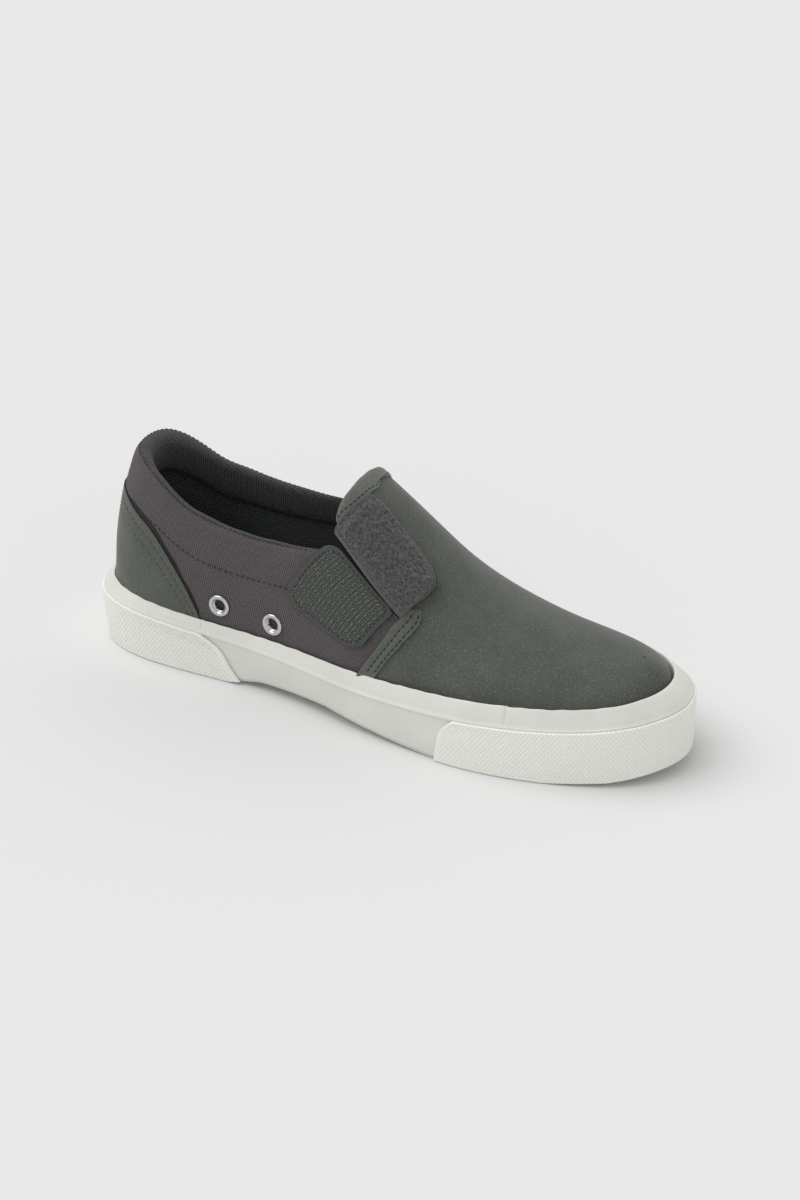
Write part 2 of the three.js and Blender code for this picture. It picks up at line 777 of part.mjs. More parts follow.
function patchGeometry(corners, radius, under) {
  return sheet((t, v, face) => {
    const cut = cornerInset(t, radius);
    const place = patchPoint(corners, t, cut + (1 - 2 * cut) * v);
    return skin(place.turn, place.rise, under + face * patchThickness);
  }, patchStations, steps(5));
}

// The strap lies folded forward over the tongue and tucks back under its slit edge
function strapGeometry() {
  const shareOf = spline([slit[0].along, slit[1].along, slit[2].along], [0, 0.5, 1]);
  const tongueRise = smooth(slit, "tongueRise", "share");
  return sweep(patchStations.map((t) => {
    const cut = cornerInset(t, strapRounding);
    const outerFace = (v, lift) => {
      const place = patchPoint(strapCorners, t, v);
      return skin(place.turn, place.rise, panelStep / 2 + strapLift + lift);
    };
    const fold = patchPoint(strapCorners, t, 0);
    const along = alongOf(fold.turn);
    const edge = tongueRise(Math.min(shareOf(along), 1));
    const inside = panelStep / 2 - upperWall - gap;
    const tuck = edge + strapFold.tuck;
    const across = steps(5, 1 - cut, strapFold.start);
    const middle = (strapLift + inside) / 2;
    const bend = (lift, depth) => skin(fold.turn, fold.rise - strapFold.climb * lift, depth);
    const drawn = (depth) => bend(0, depth).lerp(skin(fold.turn, edge, depth), strapFold.draw);
    return [
      ...across.map((v) => outerFace(v, strapThickness)),
      bend(strapThickness, middle + strapFold.outer),
      bend(strapThickness, middle - strapFold.outer),
      skin(fold.turn, edge - strapFold.turnIn, inside - strapThickness),
      skin(fold.turn, tuck, inside - strapThickness),
      skin(fold.turn, tuck, inside),
      skin(fold.turn, edge - strapFold.edge, inside),
      drawn(middle - strapFold.inner),
      drawn(middle + strapFold.inner),
      ...[...across].reverse().map((v) => outerFace(v, 0)),
    ];
  }));
}

// Binding wrapped round the tongue's rear edge
function bindingGeometry() {
  const bound = (offset) => toManifold(dome(() => panelStep / 2 + offset, offset > 0 ? 0 : footDrop));
  const column = (shift, along) =>
    tongueLevels.map((level) => [along(level) * length + shift, level * tongueHeight]);
  const between = (shift) => toManifold(acrossShoe([
    ...column(shift, edgeAlong),
    ...column(0, lineAlong).reverse(),
  ]));
  const keep = between(-bindingTurn);
  const core = bound(gap).subtract(bound(-upperWall - gap));
  const shell = bound(gap + bindingThickness).subtract(bound(-upperWall - gap - bindingThickness));
  const freed = toManifold(acrossShoe([
    ...column(-gap, edgeAlong),
    ...column(length / 10, lineAlong).reverse(),
  ]));
  const level = bindingFoot * tongueHeight;
  const above = 2 * tongueHeight;
  const cap = toManifold(acrossShoe([[0, level], [length, level], [length, above], [0, above]]));
  return fromManifold(shell.intersect(keep).intersect(cap).subtract(core.intersect(freed)));
}

// A dished ring with a short barrel through the wall
function eyeletGeometry(eyelet) {
  const under = gap;
  const rounding = 0.3;
  const dish = 0.5;
  const barrel = eyeletHole + gap;
  const profile = [
    [eyeletHole, -upperWall],
    [barrel, -upperWall],
    [barrel, under],
    [eyeletRadius, under],
    [eyeletRadius - rounding, under + 0.6 * eyeletHeight],
    [(eyeletRadius + eyeletHole) / 2 + dish, under + eyeletHeight],
    [eyeletHole + dish, under + dish * eyeletHeight],
    [eyeletHole, under],
  ];
  profile.push(profile[0]);
  const ring = new THREE.LatheGeometry(profile.map(([r, h]) => new THREE.Vector2(r, h)), 24);
  ring.deleteAttribute("uv");
  ring.deleteAttribute("normal");
  return onWall(mergeVertices(ring, 1e-3), eyelet, -panelStep / 2);
}

// Materials
const paint = (name, color, roughness, metalness = 0) =>
  Object.assign(new THREE.MeshStandardMaterial({ color, roughness, metalness }), { name });
const rubber = paint("off_white_rubber", 0xdcddd3, 0.6);
const microfibre = paint("grey_green_microfibre", 0x5d605a, 0.9);
const canvas = paint("grey_canvas", 0x5f5a5c, 0.95);
const lining = paint("dark_mesh_lining", 0x3a3c3a, 0.95);
const hookTape = paint("hook_tape", 0x4b4d4a, 0.85);
const loopTape = paint("loop_pile", 0x565856, 1);
const metal = paint("bright_metal", 0xc8c9c8, 0.25, 1);

const strapTop = panelStep / 2 + strapLift + strapThickness;
const pieces = [
  ["outsole", outsoleGeometry(), rubber],
  ["foxing", foxingGeometry(), rubber],
  ["toe_guard", guardGeometry(toeGuardEnd, false), rubber],
  ["heel_guard", guardGeometry(heelGuardEnd, true), rubber],
  ["insole", insoleGeometry(), lining],
  ["upper", upperGeometry(), canvas],
  ["collar_roll", collarRollGeometry(), lining],
  ["heel_counter", counterGeometry(), microfibre],
  ["vamp_edge_band_medial", bandGeometry(medialBand, MEDIAL), microfibre],
  ["vamp_edge_band_lateral", bandGeometry(lateralBand, LATERAL), microfibre],
  ["tongue_binding", bindingGeometry(), microfibre],
  ["hook_patch", patchGeometry(hookCorners, hookRounding, gap / 2), hookTape],
  ["closure_strap", strapGeometry(), microfibre],
  ["loop_patch", patchGeometry(loopCorners, strapRounding, strapTop + gap), loopTape],
  ...eyelets.map((eyelet) => [eyelet.name, eyeletGeometry(eyelet), metal]),
];

const shoe = new THREE.Group();
for (const [name, geometry, material] of pieces) {
  const mesh = new THREE.Mesh(geometry, material);
  mesh.name = name;
  shoe.add(mesh);
}

// The origin is the middle of the shoe's box, on the floor
const box = new THREE.Box3().setFromObject(shoe);
const middle = box.getCenter(new THREE.Vector3());
shoe.position.set(-middle.x, -middle.y, -box.min.z);

const model = new THREE.Group();
model.add(shoe);
export default model;
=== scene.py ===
import math

import bmesh
import bpy
import numpy as np
from mathutils import Matrix, Vector, noise as field


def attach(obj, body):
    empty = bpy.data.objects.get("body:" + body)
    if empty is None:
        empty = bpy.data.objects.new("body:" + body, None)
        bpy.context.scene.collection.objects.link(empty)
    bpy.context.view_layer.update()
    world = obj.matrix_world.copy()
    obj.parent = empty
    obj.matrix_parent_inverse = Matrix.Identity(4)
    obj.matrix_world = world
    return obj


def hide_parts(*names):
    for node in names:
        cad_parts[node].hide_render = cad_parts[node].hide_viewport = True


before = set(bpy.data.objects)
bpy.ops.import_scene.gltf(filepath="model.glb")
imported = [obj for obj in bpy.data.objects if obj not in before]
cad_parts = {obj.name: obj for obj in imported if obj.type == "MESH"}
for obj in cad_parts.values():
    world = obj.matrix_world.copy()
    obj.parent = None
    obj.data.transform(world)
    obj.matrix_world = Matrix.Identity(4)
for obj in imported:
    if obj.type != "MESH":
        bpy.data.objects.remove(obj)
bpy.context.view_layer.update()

# Sizes in millimetres, heel at x = 0, toe towards +X, medial side towards -Y, floor at z = 0
LENGTH = 275
BALL_WIDTH = 98.5
SOLE_HEIGHT = 31
TONGUE_HEIGHT = 97
COLLAR_HEIGHT = 92
UPPER_WALL = 2
PANEL_STEP = 0.8
# Faces of the canvas and of the vamp, measured outwards from the last
CANVAS_FACE, VAMP_FACE = -PANEL_STEP / 2, PANEL_STEP / 2
GAP = 0.3
GUARD_THICKNESS = 1.4
TOE_LIP = 2
TREAD_WIDTH = 1.87
TREAD_HEIGHT = 2.45
TREAD_DEPTH = 0.3
RIDGE_INSET = 1.1
GUARD_DROP = 0.68
MM = 0.001
# Middle of the shoe's box on the floor, which is the origin of the scene
ROW_ORIGIN = np.array([137.5148, 2.3729, 0])
MEDIAL, LATERAL = -1, 1
SAME_SPOT = 5e-6
POLE_MERGE = 0.35
RELAX_PASSES = 12
VAMP_THICKNESS = 1.2
TOE_BULGE = 1.3
CANVAS_THICKNESS = 1.0
EYELET_HOLE = 3.1
FEATHER_DROP = 2.4
TOE_LIP_START = 0.69
# A full rise on the quarters measures about this many millimetres
RISE_SPAN = 85
# Stitch rows: below the counter's edge in mm, across an edge band in shares of its width, and
# behind the front edge of the tongue's tape in mm
COUNTER_ROWS = (2.4, 4.9)
BAND_ROWS = (0.42, 0.82)
TAPE_ROW = 1.5


def table(names, rows):
    return dict(zip(names.split(), np.array(rows, float).T))


outline = table("along medial lateral", [
    (0.012, 0.170, 0.173), (0.05, 0.280, 0.285), (0.10, 0.327, 0.354), (0.20, 0.340, 0.396),
    (0.30, 0.335, 0.413), (0.40, 0.365, 0.447), (0.50, 0.426, 0.494), (0.60, 0.463, 0.525),
    (0.70, 0.477, 0.519), (0.80, 0.441, 0.461), (0.90, 0.349, 0.349), (0.95, 0.267, 0.257),
    (0.985, 0.154, 0.140)])
TOE_OFFSET = -0.017
sole_side = table("along line feather inset base", [
    (0, 0.82, 0.99, 0.066, 0.39), (0.15, 0.74, 0.88, 0.051, 0.39), (0.35, 0.63, 0.82, 0.045, 0.39),
    (0.55, 0.64, 0.88, 0.050, 0.40), (0.75, 0.74, 0.985, 0.061, 0.44), (0.90, 0.84, 1.08, 0.067, 0.49),
    (1, 0.97, 1.17, 0.105, 0.55)])
underside = table("along rise", [
    (0, 0.03), (0.05, 0), (0.27, 0), (0.33, 0.115), (0.45, 0.16), (0.60, 0.035), (0.66, 0),
    (0.83, 0), (0.92, 0.055), (1, 0.185)])
lean = table("along inset", [(0, 0.026), (0.3, 0.016), (0.6, 0.006), (1, 0.004)])
crest = table("along height shift", [
    (0.145, 1.18, 0), (0.255, 1.31, 0), (0.364, 1.163, 0), (0.462, 0.979, 0), (0.545, 0.771, 0),
    (0.636, 0.579, 0.003), (0.727, 0.485, 0.012), (0.80, 0.45, 0.025), (0.916, 0.438, 0.036)])
CREST_START, CREST_END = 0.145, 0.916
CREST_TILT_START, CREST_TILT_END = 0.2, 0.4
fullness = table("along crown wall", [
    (0, 2.0, 2.2), (0.15, 2.0, 2.6), (0.35, 2.0, 2.65), (0.50, 2.1, 2.3), (0.70, 2.0, 2.2),
    (0.85, 2.1, 2.4), (1, 2.8, 3.8)])
collar = table("along medial lateral", [
    (-0.1, 1.0, 1.0), (0.05, 1.003, 1.0), (0.085, 0.992, 0.955), (0.116, 0.962, 0.865),
    (0.142, 0.92, 0.80), (0.182, 0.841, 0.763), (0.218, 0.799, 0.738), (0.255, 0.773, 0.722),
    (0.30, 0.756, 0.71), (0.36, 0.757, 0.702), (0.40, 0.766, 0.707), (0.44, 0.778, 0.72),
    (0.50, 0.80, 0.74)])
COLLAR_HALF = 0.29

# Lines on the upper: "rise" is the share of the way from the sole to the crest
tongue_rear = [
    (0.60, 0.429), (0.62, 0.425), (0.68, 0.421), (0.74, 0.4195), (0.80, 0.418), (0.86, 0.415),
    (0.90, 0.412), (0.95, 0.408), (0.98, 0.4055), (1.0, 0.4035)]
binding_front = table("rise along", [
    (0.40, 0.444), (0.56, 0.436), (0.625, 0.429), (0.706, 0.433), (0.794, 0.436), (0.909, 0.433),
    (1.0, 0.4285)])
vamp_rear_medial = table("rise along", [
    (0, 0.53), (0.14, 0.53), (0.29, 0.55), (0.44, 0.574), (0.50, 0.582), (0.53, 0.578), (0.55, 0.54),
    (0.575, 0.475)] + tongue_rear)
vamp_rear_lateral = table("rise along", [
    (0, 0.53), (0.14, 0.53), (0.29, 0.548), (0.39, 0.54), (0.44, 0.505), (0.49, 0.465),
    (0.54, 0.441)] + tongue_rear)
counter_top = table("along rise", [
    (0, 0.395), (0.02, 0.383), (0.045, 0.357), (0.06, 0.339), (0.085, 0.31), (0.108, 0.288),
    (0.13, 0.262), (0.158, 0.22), (0.182, 0.177), (0.203, 0.130), (0.217, 0.090)])
COUNTER_END = 0.217
medial_band = table("share rear_along rear_rise front_along front_rise", [
    (0, 0.510, 0.14, 0.541, 0.14), (0.2, 0.524, 0.20, 0.556, 0.225), (0.45, 0.547, 0.331, 0.577, 0.355),
    (0.65, 0.558, 0.427, 0.590, 0.46), (0.8, 0.566, 0.49, 0.596, 0.535), (1, 0.574, 0.56, 0.590, 0.615)])
lateral_band = table("share rear_along rear_rise front_along front_rise", [
    (0, 0.512, 0.14, 0.549, 0.14), (0.4, 0.530, 0.27, 0.566, 0.29), (0.7, 0.518, 0.38, 0.556, 0.43),
    (1, 0.462, 0.46, 0.486, 0.53)])
quarter_front = table("rise along", [
    (0, 0.535), (0.14, 0.535), (0.29, 0.553), (0.43, 0.573), (0.5, 0.580)])
quarter_seam = table("along rise", [
    (0.09, 0.315), (0.11, 0.299), (0.131, 0.284), (0.151, 0.268), (0.174, 0.252), (0.20, 0.240),
    (0.234, 0.233), (0.287, 0.240), (0.368, 0.269), (0.43, 0.30)])
slit = table("along quarter tongue", [(0.395, 0.495, 0.60), (0.49, 0.489, 0.57), (0.578, 0.486, 0.535)])
# Corners of the patches: along, rise and the corner's radius as a share of the side
hook_corners = [(0.361, 0.236, 0.22), (0.508, 0.214, 0.24), (0.556, 0.496, 0.12), (0.430, 0.530, 0.18)]
strap_corners = [(0.427, 0.562, 0.05), (0.567, 0.494, 0.12), (0.607, 0.876, 0.42), (0.436, 0.932, 0.22)]
loop_corners = [(0.430, 0.580, 0.06), (0.570, 0.508, 0.14), (0.597, 0.840, 0.42), (0.440, 0.904, 0.22)]
STRAP_LIFT = 1.8
STRAP_THICKNESS = 1.5
PATCH_THICKNESS = 1.3
eyelets = {"eyelet_rear": (0.253, 0.135), "eyelet_front": (0.347, 0.141)}
heel_guard_end = table("share along", [(0, 0.292), (0.5, 0.272), (0.85, 0.25), (1, 0.226)])
toe_guard_end = table("share along", [(0, 0.658), (0.5, 0.664), (0.85, 0.676), (1, 0.69)])
# Soft folds pressed into the vamp: ends in plan, half width and depth
vamp_folds = [
    ((168, -38), (196, -12), 10, 0.7),
    ((158, 30), (186, 10), 9, 0.4),
    ((186, -40), (212, -20), 9, -0.3),
    ((205, -6), (214, 22), 12, 0.3),
]


def spline(xs, ys):
    n = len(xs)
    step = np.diff(xs)
    system, push = np.eye(n), np.zeros(n)
    for i in range(1, n - 1):
        system[i, i - 1:i + 2] = step[i - 1], 2 * (step[i - 1] + step[i]), step[i]
        push[i] = 6 * ((ys[i + 1] - ys[i]) / step[i] - (ys[i] - ys[i - 1]) / step[i - 1])
    bend = np.linalg.solve(system, push)

    def at(x):
        x = np.clip(x, xs[0], xs[-1])
        i = np.clip(np.searchsorted(xs, x) - 1, 0, n - 2)
        a = (xs[i + 1] - x) / step[i]
        b = 1 - a
        bow = ((a ** 3 - a) * bend[i] + (b ** 3 - b) * bend[i + 1]) * step[i] ** 2 / 6
        return a * ys[i] + b * ys[i + 1] + bow
    return at


def smooth(rows, column, key="along"):
    return spline(rows[key], rows[column])


def ramp(value, start, width):
    """0 up to the start, then evenly up to 1 over the width."""
    return np.clip((value - start) / width, 0, 1)


def eased(share):
    return share * share * (3 - 2 * share)


def along_of(turn):
    return (1 - np.cos(turn)) / 2


def turn_of(along, side):
    return side * np.arccos(np.clip(1 - 2 * np.asarray(along, float), -1, 1))


def outline_spline():
    turns, halves = [], []
    for lap in (-2 * math.pi, 0, 2 * math.pi):
        turns += list(lap + turn_of(outline["along"][::-1], MEDIAL)) + [lap]
        halves += list(-outline["medial"][::-1] * BALL_WIDTH) + [0]
        turns += list(lap + turn_of(outline["along"], LATERAL)) + [lap + math.pi]
        halves += list(outline["lateral"] * BALL_WIDTH) + [TOE_OFFSET * BALL_WIDTH]
    return spline(np.array(turns), np.array(halves))


outline_y = outline_spline()


def plan(turn, inset):
    reach = 0.001
    dx = LENGTH * (along_of(turn + reach) - along_of(turn - reach))
    dy = outline_y(turn + reach) - outline_y(turn - reach)
    span = np.hypot(dx, dy)
    return LENGTH * along_of(turn) + dy / span * inset, outline_y(turn) - dx / span * inset


line_share, feather_share = smooth(sole_side, "line"), smooth(sole_side, "feather")
inset_share, base_share = smooth(sole_side, "inset"), smooth(sole_side, "base")
lean_share = smooth(lean, "inset")
crest_share, crest_shift = smooth(crest, "height"), smooth(crest, "shift")
crown_fullness, wall_fullness = smooth(fullness, "crown"), smooth(fullness, "wall")
collar_medial, collar_lateral = smooth(collar, "medial"), smooth(collar, "lateral")


def line_height(along):
    return line_share(along) * SOLE_HEIGHT


def feather_height(along):
    return feather_share(along) * SOLE_HEIGHT


def feather_inset(along):
    return inset_share(along) * BALL_WIDTH


def base_height(along):
    return base_share(along) * SOLE_HEIGHT


def floor_height(along):
    return np.interp(along, underside["along"], underside["rise"]) * SOLE_HEIGHT


def last_point(turn, rise):
    along = along_of(turn)
    foot_x, foot_y = plan(turn, feather_inset(along))
    crest_along = CREST_START + (CREST_END - CREST_START) * along
    crest_x = crest_along * LENGTH
    crest_y = crest_shift(crest_along) * BALL_WIDTH
    crest_z = crest_share(crest_along) * TONGUE_HEIGHT
    probe = 0.002
    fall = crest_share(crest_along + probe) - crest_share(crest_along - probe)
    tilt = fall * TONGUE_HEIGHT / (2 * probe * LENGTH)
    tilt_share = ramp(along, CREST_TILT_START, CREST_TILT_END - CREST_TILT_START)
    foot_z = base_height(along)
    crown, wall = crown_fullness(along), wall_fullness(along)
    cos, sin = np.cos(rise * np.pi / 2), np.sin(rise * np.pi / 2)
    cos, sin = np.maximum(cos, 1e-9), np.maximum(sin, 1e-9)
    reach = np.ones_like(cos)
    for _ in range(20):
        across, up = (reach * cos) ** crown, (reach * sin) ** wall
        reach = reach - (across + up - 1) * reach / (crown * across + wall * up)
    inward, up = 1 - reach * cos, reach * sin
    x = foot_x + (crest_x - foot_x) * inward
    y = foot_y + (crest_y - foot_y) * inward
    z = foot_z + (crest_z - foot_z) * up + tilt * (x - crest_x) * tilt_share * up ** 2.5
    return np.stack([x, y, z], -1)


def skin_normal(turn, rise):
    reach = 0.002
    low = np.clip(rise, reach, 0.985)
    around = last_point(turn + reach, low) - last_point(turn - reach, low)
    climb = last_point(turn, low + reach) - last_point(turn, low - reach)
    normal = np.cross(climb, around)
    return normal / np.linalg.norm(normal, axis=-1, keepdims=True)


def skin(turn, rise, offset):
    turn, rise, offset = np.broadcast_arrays(np.asarray(turn, float), rise, offset)
    return last_point(turn, rise) + skin_normal(turn, rise) * offset[..., None]


def upright(spot):
    """Turns +Z to point out of the skin at the spot."""
    return Vector(skin_normal(*spot)).to_track_quat("Z", "X").to_matrix().to_4x4()


def solve(low, high, too_low):
    low, high = np.array(low, float), np.array(high, float)
    for _ in range(26):
        middle = (low + high) / 2
        less = too_low(middle)
        low, high = np.where(less, middle, low), np.where(less, high, middle)
    return (low + high) / 2


def collar_z(x, y):
    across = np.clip(0.5 + y / (2 * COLLAR_HALF * BALL_WIDTH), 0, 1)
    along = x / LENGTH
    return COLLAR_HEIGHT * (collar_medial(along) * (1 - across) + collar_lateral(along) * across)


def collar_rise(turn, offset, lift):
    def too_low(rise):
        at = skin(turn, rise, offset)
        return at[..., 2] < collar_z(at[..., 0], at[..., 1]) + lift
    zero = np.zeros(np.broadcast_shapes(np.shape(turn), np.shape(offset), np.shape(lift)))
    return solve(zero, zero + 1, too_low)


def foot_rise(turn, below=4):
    height = feather_height(along_of(turn)) - below
    zero = np.zeros(np.shape(turn))
    return solve(zero, zero + 1, lambda rise: last_point(turn, rise)[..., 2] < height)


def guard_depth(along):
    return GUARD_THICKNESS + TOE_LIP * ramp(along, TOE_LIP_START, 1 - TOE_LIP_START) ** 1.5


def to_row(points):
    return (np.asarray(points) - ROW_ORIGIN) * MM


def cut_lengths(points):
    """Where each point lies on the flat panel, in metres."""
    around = np.linalg.norm(np.diff(points, axis=0), axis=-1)
    middle = around[:, around.shape[1] // 3]
    u = np.concatenate([[0], np.cumsum(middle)])
    up = np.linalg.norm(np.diff(points, axis=1), axis=-1)
    v = np.concatenate([np.zeros((len(points), 1)), np.cumsum(up, axis=1)], axis=1)
    return np.stack([np.broadcast_to(u[:, None], v.shape), v], -1) * MM


def new_object(name, data):
    made = bpy.data.objects.new(name, data)
    bpy.context.scene.collection.objects.link(made)
    return made


def add_object(name, bm, materials):
    mesh = bpy.data.meshes.new(name)
    bm.to_mesh(mesh)
    bm.free()
    for material in materials:
        mesh.materials.append(material)
    mesh.shade_smooth()
    piece = new_object(name, mesh)
    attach(piece, "root")
    return piece


def add_bead(bm, centre, turned, size, rounds):
    placed = Matrix.Translation(Vector(to_row(centre)))
    scaled = Matrix.Diagonal([length * MM for length in size] + [1])
    bmesh.ops.create_icosphere(bm, subdivisions=rounds, radius=1, matrix=placed @ turned @ scaled)


def sew(name, outer, materials, inner=None, rim=0.3, holes=(), cut=None, relax=None,
        bands=None):
    """A panel laid on rows of points, closed across its edges or given an inner face and a rim.

    relax is a spot and a reach in mm to smooth, and bands holds a material for each row.
    """
    wide, high = outer.shape[:2]
    bm = bmesh.new()
    bmesh.ops.create_grid(bm, x_segments=wide - 1, y_segments=high - 1, size=0.5)
    column, row = bm.verts.layers.int.new("column"), bm.verts.layers.int.new("row")
    inside = bm.verts.layers.int.new("inside")
    lay = bm.loops.layers.uv.new("cut")
    flat = cut_lengths(outer) if cut is None else cut
    for vert in bm.verts:
        vert[column] = round((vert.co.x + 0.5) * (wide - 1))
        vert[row] = round((vert.co.y + 0.5) * (high - 1))
    for face in bm.faces:
        for loop in face.loops:
            loop[lay].uv = flat[loop.vert[column], loop.vert[row]]
    placed = to_row(outer)
    for vert in bm.verts:
        vert.co = placed[vert[column], vert[row]]
    bmesh.ops.remove_doubles(bm, verts=bm.verts[:], dist=SAME_SPOT)
    if relax:
        middle = Vector(to_row(relax[0]))
        near = [v for v in bm.verts if (v.co - middle).length < relax[1] * MM]
        bmesh.ops.remove_doubles(bm, verts=near, dist=POLE_MERGE * MM)
        near = [v for v in bm.verts if (v.co - middle).length < relax[1] * MM]
        for _ in range(RELAX_PASSES):
            bmesh.ops.smooth_vert(bm, verts=near, factor=0.5, use_axis_x=True, use_axis_y=True,
                                  use_axis_z=True)
    for centre, radius in holes:
        middle = Vector(to_row(centre))
        gone = [f for f in bm.faces if (f.calc_center_median() - middle).length < radius * MM]
        bmesh.ops.delete(bm, geom=gone, context="FACES")
    if inner is not None:
        made = bmesh.ops.extrude_face_region(bm, geom=bm.faces[:])["geom"]
        placed = to_row(inner)
        for vert in (g for g in made if isinstance(g, bmesh.types.BMVert)):
            vert.co = placed[vert[column], vert[row]]
            vert[inside] = 1
    else:
        edges = [e for e in bm.edges if e.is_boundary]
        if edges:
            bmesh.ops.holes_fill(bm, edges=edges, sides=0)
    bmesh.ops.recalc_face_normals(bm, faces=bm.faces[:])
    if inner is not None:
        for face in bm.faces:
            deep = sum(vert[inside] for vert in face.verts) / len(face.verts)
            kind = 1 if deep == 1 else 2 if deep > 0 else 0
            face.material_index = kind if kind < len(materials) else 0
        if rim:
            bmesh.ops.bevel(bm, geom=rim_edges(bm, inside), offset=rim * MM, offset_type="OFFSET",
                            segments=2, profile=0.5, affect="EDGES", material=-1, clamp_overlap=True)
    if bands is not None:
        for face in bm.faces:
            face.material_index = bands[sorted(vert[row] for vert in face.verts)[1]]
    return add_object(name, bm, materials)


def rim_edges(bm, inside):
    def kind(face):
        return sum(vert[inside] for vert in face.verts) / len(face.verts)
    edges = []
    for edge in bm.edges:
        if len(edge.link_faces) == 2:
            a, b = (kind(face) for face in edge.link_faces)
            walls = (0 < a < 1) + (0 < b < 1)
            if walls == 1:
                edges.append(edge)
    return edges


def shares(count, start=0, end=1):
    return np.linspace(start, end, count + 1)


def mesh_shares(us, vs):
    return np.meshgrid(us, vs, indexing="ij")


def bump_rows(distance, width):
    return np.exp(-(distance / width) ** 2)


def fuzz(points, pitch):
    """Uneven tufts with a height of about one."""
    flat = points.reshape(-1, 3) / pitch
    return 1.6 * np.array([field.noise(Vector(spot)) for spot in flat]).reshape(points.shape[:-1])


def ripple(x, y, pitch, seed):
    """A slow, uneven wave with a height of about one."""
    k = 2 * np.pi / pitch
    return (np.sin(k * x + seed) * np.cos(0.83 * k * y + 2.1 * seed) +
            0.6 * np.sin(1.73 * k * x - 1.3 * k * y + 3.7 * seed)) / 1.3


def feed(tree, socket, value):
    if isinstance(value, bpy.types.NodeSocket):
        tree.links.new(value, socket)
    else:
        socket.default_value = value


def add_node(tree, kind, feeds=None, **settings):
    node = tree.nodes.new(kind)
    for key, value in settings.items():
        setattr(node, key, value)
    for key, value in (feeds or {}).items():
        feed(tree, node.inputs[key], value)
    return node


def calc(tree, operation, *values):
    return add_node(tree, "ShaderNodeMath", dict(enumerate(values)), operation=operation).outputs[0]


def ranged(tree, value, low, high, to_low=0.0, to_high=1.0):
    return add_node(tree, "ShaderNodeMapRange", {
        "Value": value, "From Min": low, "From Max": high, "To Min": to_low, "To Max": to_high,
    }, interpolation_type="SMOOTHSTEP").outputs["Result"]


def blend(tree, share, a, b):
    node = tree.nodes.new("ShaderNodeMix")
    node.data_type = "RGBA"
    for socket, value in zip((node.inputs[0], node.inputs[6], node.inputs[7]), (share, a, b)):
        feed(tree, socket, value)
    return node.outputs[2]


def noise(tree, vector, scale, detail=3.0, rough=0.5):
    return add_node(tree, "ShaderNodeTexNoise", {
        "Vector": vector, "Scale": scale, "Detail": detail, "Roughness": rough}).outputs["Fac"]


def effect(name, inputs, outputs, build):
    """A shared effect: inputs with their starting values, and named outputs."""
    tree = bpy.data.node_groups.new(name, "ShaderNodeTree")
    for key, value in inputs.items():
        kind = "NodeSocketVector" if key == "Vector" else "NodeSocketFloat"
        socket = tree.interface.new_socket(name=key, in_out="INPUT", socket_type=kind)
        if key != "Vector":
            socket.default_value = value
    for key in outputs:
        tree.interface.new_socket(name=key, in_out="OUTPUT", socket_type="NodeSocketFloat")
    given = tree.nodes.new("NodeGroupInput")
    result = tree.nodes.new("NodeGroupOutput")
    for key, value in build(tree, given.outputs).items():
        tree.links.new(value, result.inputs[key])
    return tree


def axes(tree, given):
    return add_node(tree, "ShaderNodeSeparateXYZ", {"Vector": given["Vector"]}).outputs


def rib_weave(tree, given):
    """Fine upright ribs crossed by picks, with uneven yarn."""
    parts = axes(tree, given)
    uneven = calc(tree, "SUBTRACT", noise(tree, given["Vector"], 260.0, 2.0), 0.5)
    stray = calc(tree, "MULTIPLY", uneven, given["Stray"])
    turn = calc(tree, "DIVIDE", 2 * math.pi, given["Rib"])
    across = calc(tree, "MULTIPLY", calc(tree, "ADD", parts["X"], stray), turn)
    up = calc(tree, "MULTIPLY", parts["Y"], calc(tree, "DIVIDE", 2 * math.pi, given["Pick"]))
    half = calc(tree, "MULTIPLY", across, 0.5)
    rib = calc(tree, "ABSOLUTE", calc(tree, "SINE", half))
    swap = calc(tree, "MULTIPLY", calc(tree, "SIGN", calc(tree, "SINE", half)), math.pi / 2)
    pick = calc(tree, "SINE", calc(tree, "ADD", up, swap))
    height = calc(tree, "MULTIPLY_ADD", pick, 0.28, rib)
    yarn = noise(tree, given["Vector"], 900.0, 2.0, 0.7)
    return {"Height": height, "Yarn": yarn}


def mesh_knit(tree, given):
    """Small slanted holes between knitted loops."""
    parts = axes(tree, given)
    turn = calc(tree, "DIVIDE", 2 * math.pi, given["Pitch"])
    a = calc(tree, "MULTIPLY", calc(tree, "MULTIPLY_ADD", parts["X"], 0.8, parts["Y"]), turn)
    b = calc(tree, "MULTIPLY", calc(tree, "MULTIPLY_ADD", parts["X"], -1.15, parts["Y"]), turn)
    loops = calc(tree, "MULTIPLY", calc(tree, "SINE", a), calc(tree, "SINE", b))
    hair = noise(tree, given["Vector"], 1100.0, 2.0, 0.6)
    return {"Height": calc(tree, "MULTIPLY_ADD", hair, 0.5, loops), "Loop": loops}


def brushed_fibre(tree, given):
    """Short matted fibres with scattered pale ends."""
    fine = noise(tree, given["Vector"], given["Scale"], 3.0, 0.65)
    ends = noise(tree, given["Vector"], calc(tree, "MULTIPLY", given["Scale"], 1.3), 2.0, 0.65)
    pale = ranged(tree, ends, 0.53, 0.68)
    soft = noise(tree, given["Vector"], calc(tree, "MULTIPLY", given["Scale"], 0.05), 3.0, 0.5)
    return {"Height": fine, "Pale": pale, "Patch": soft}


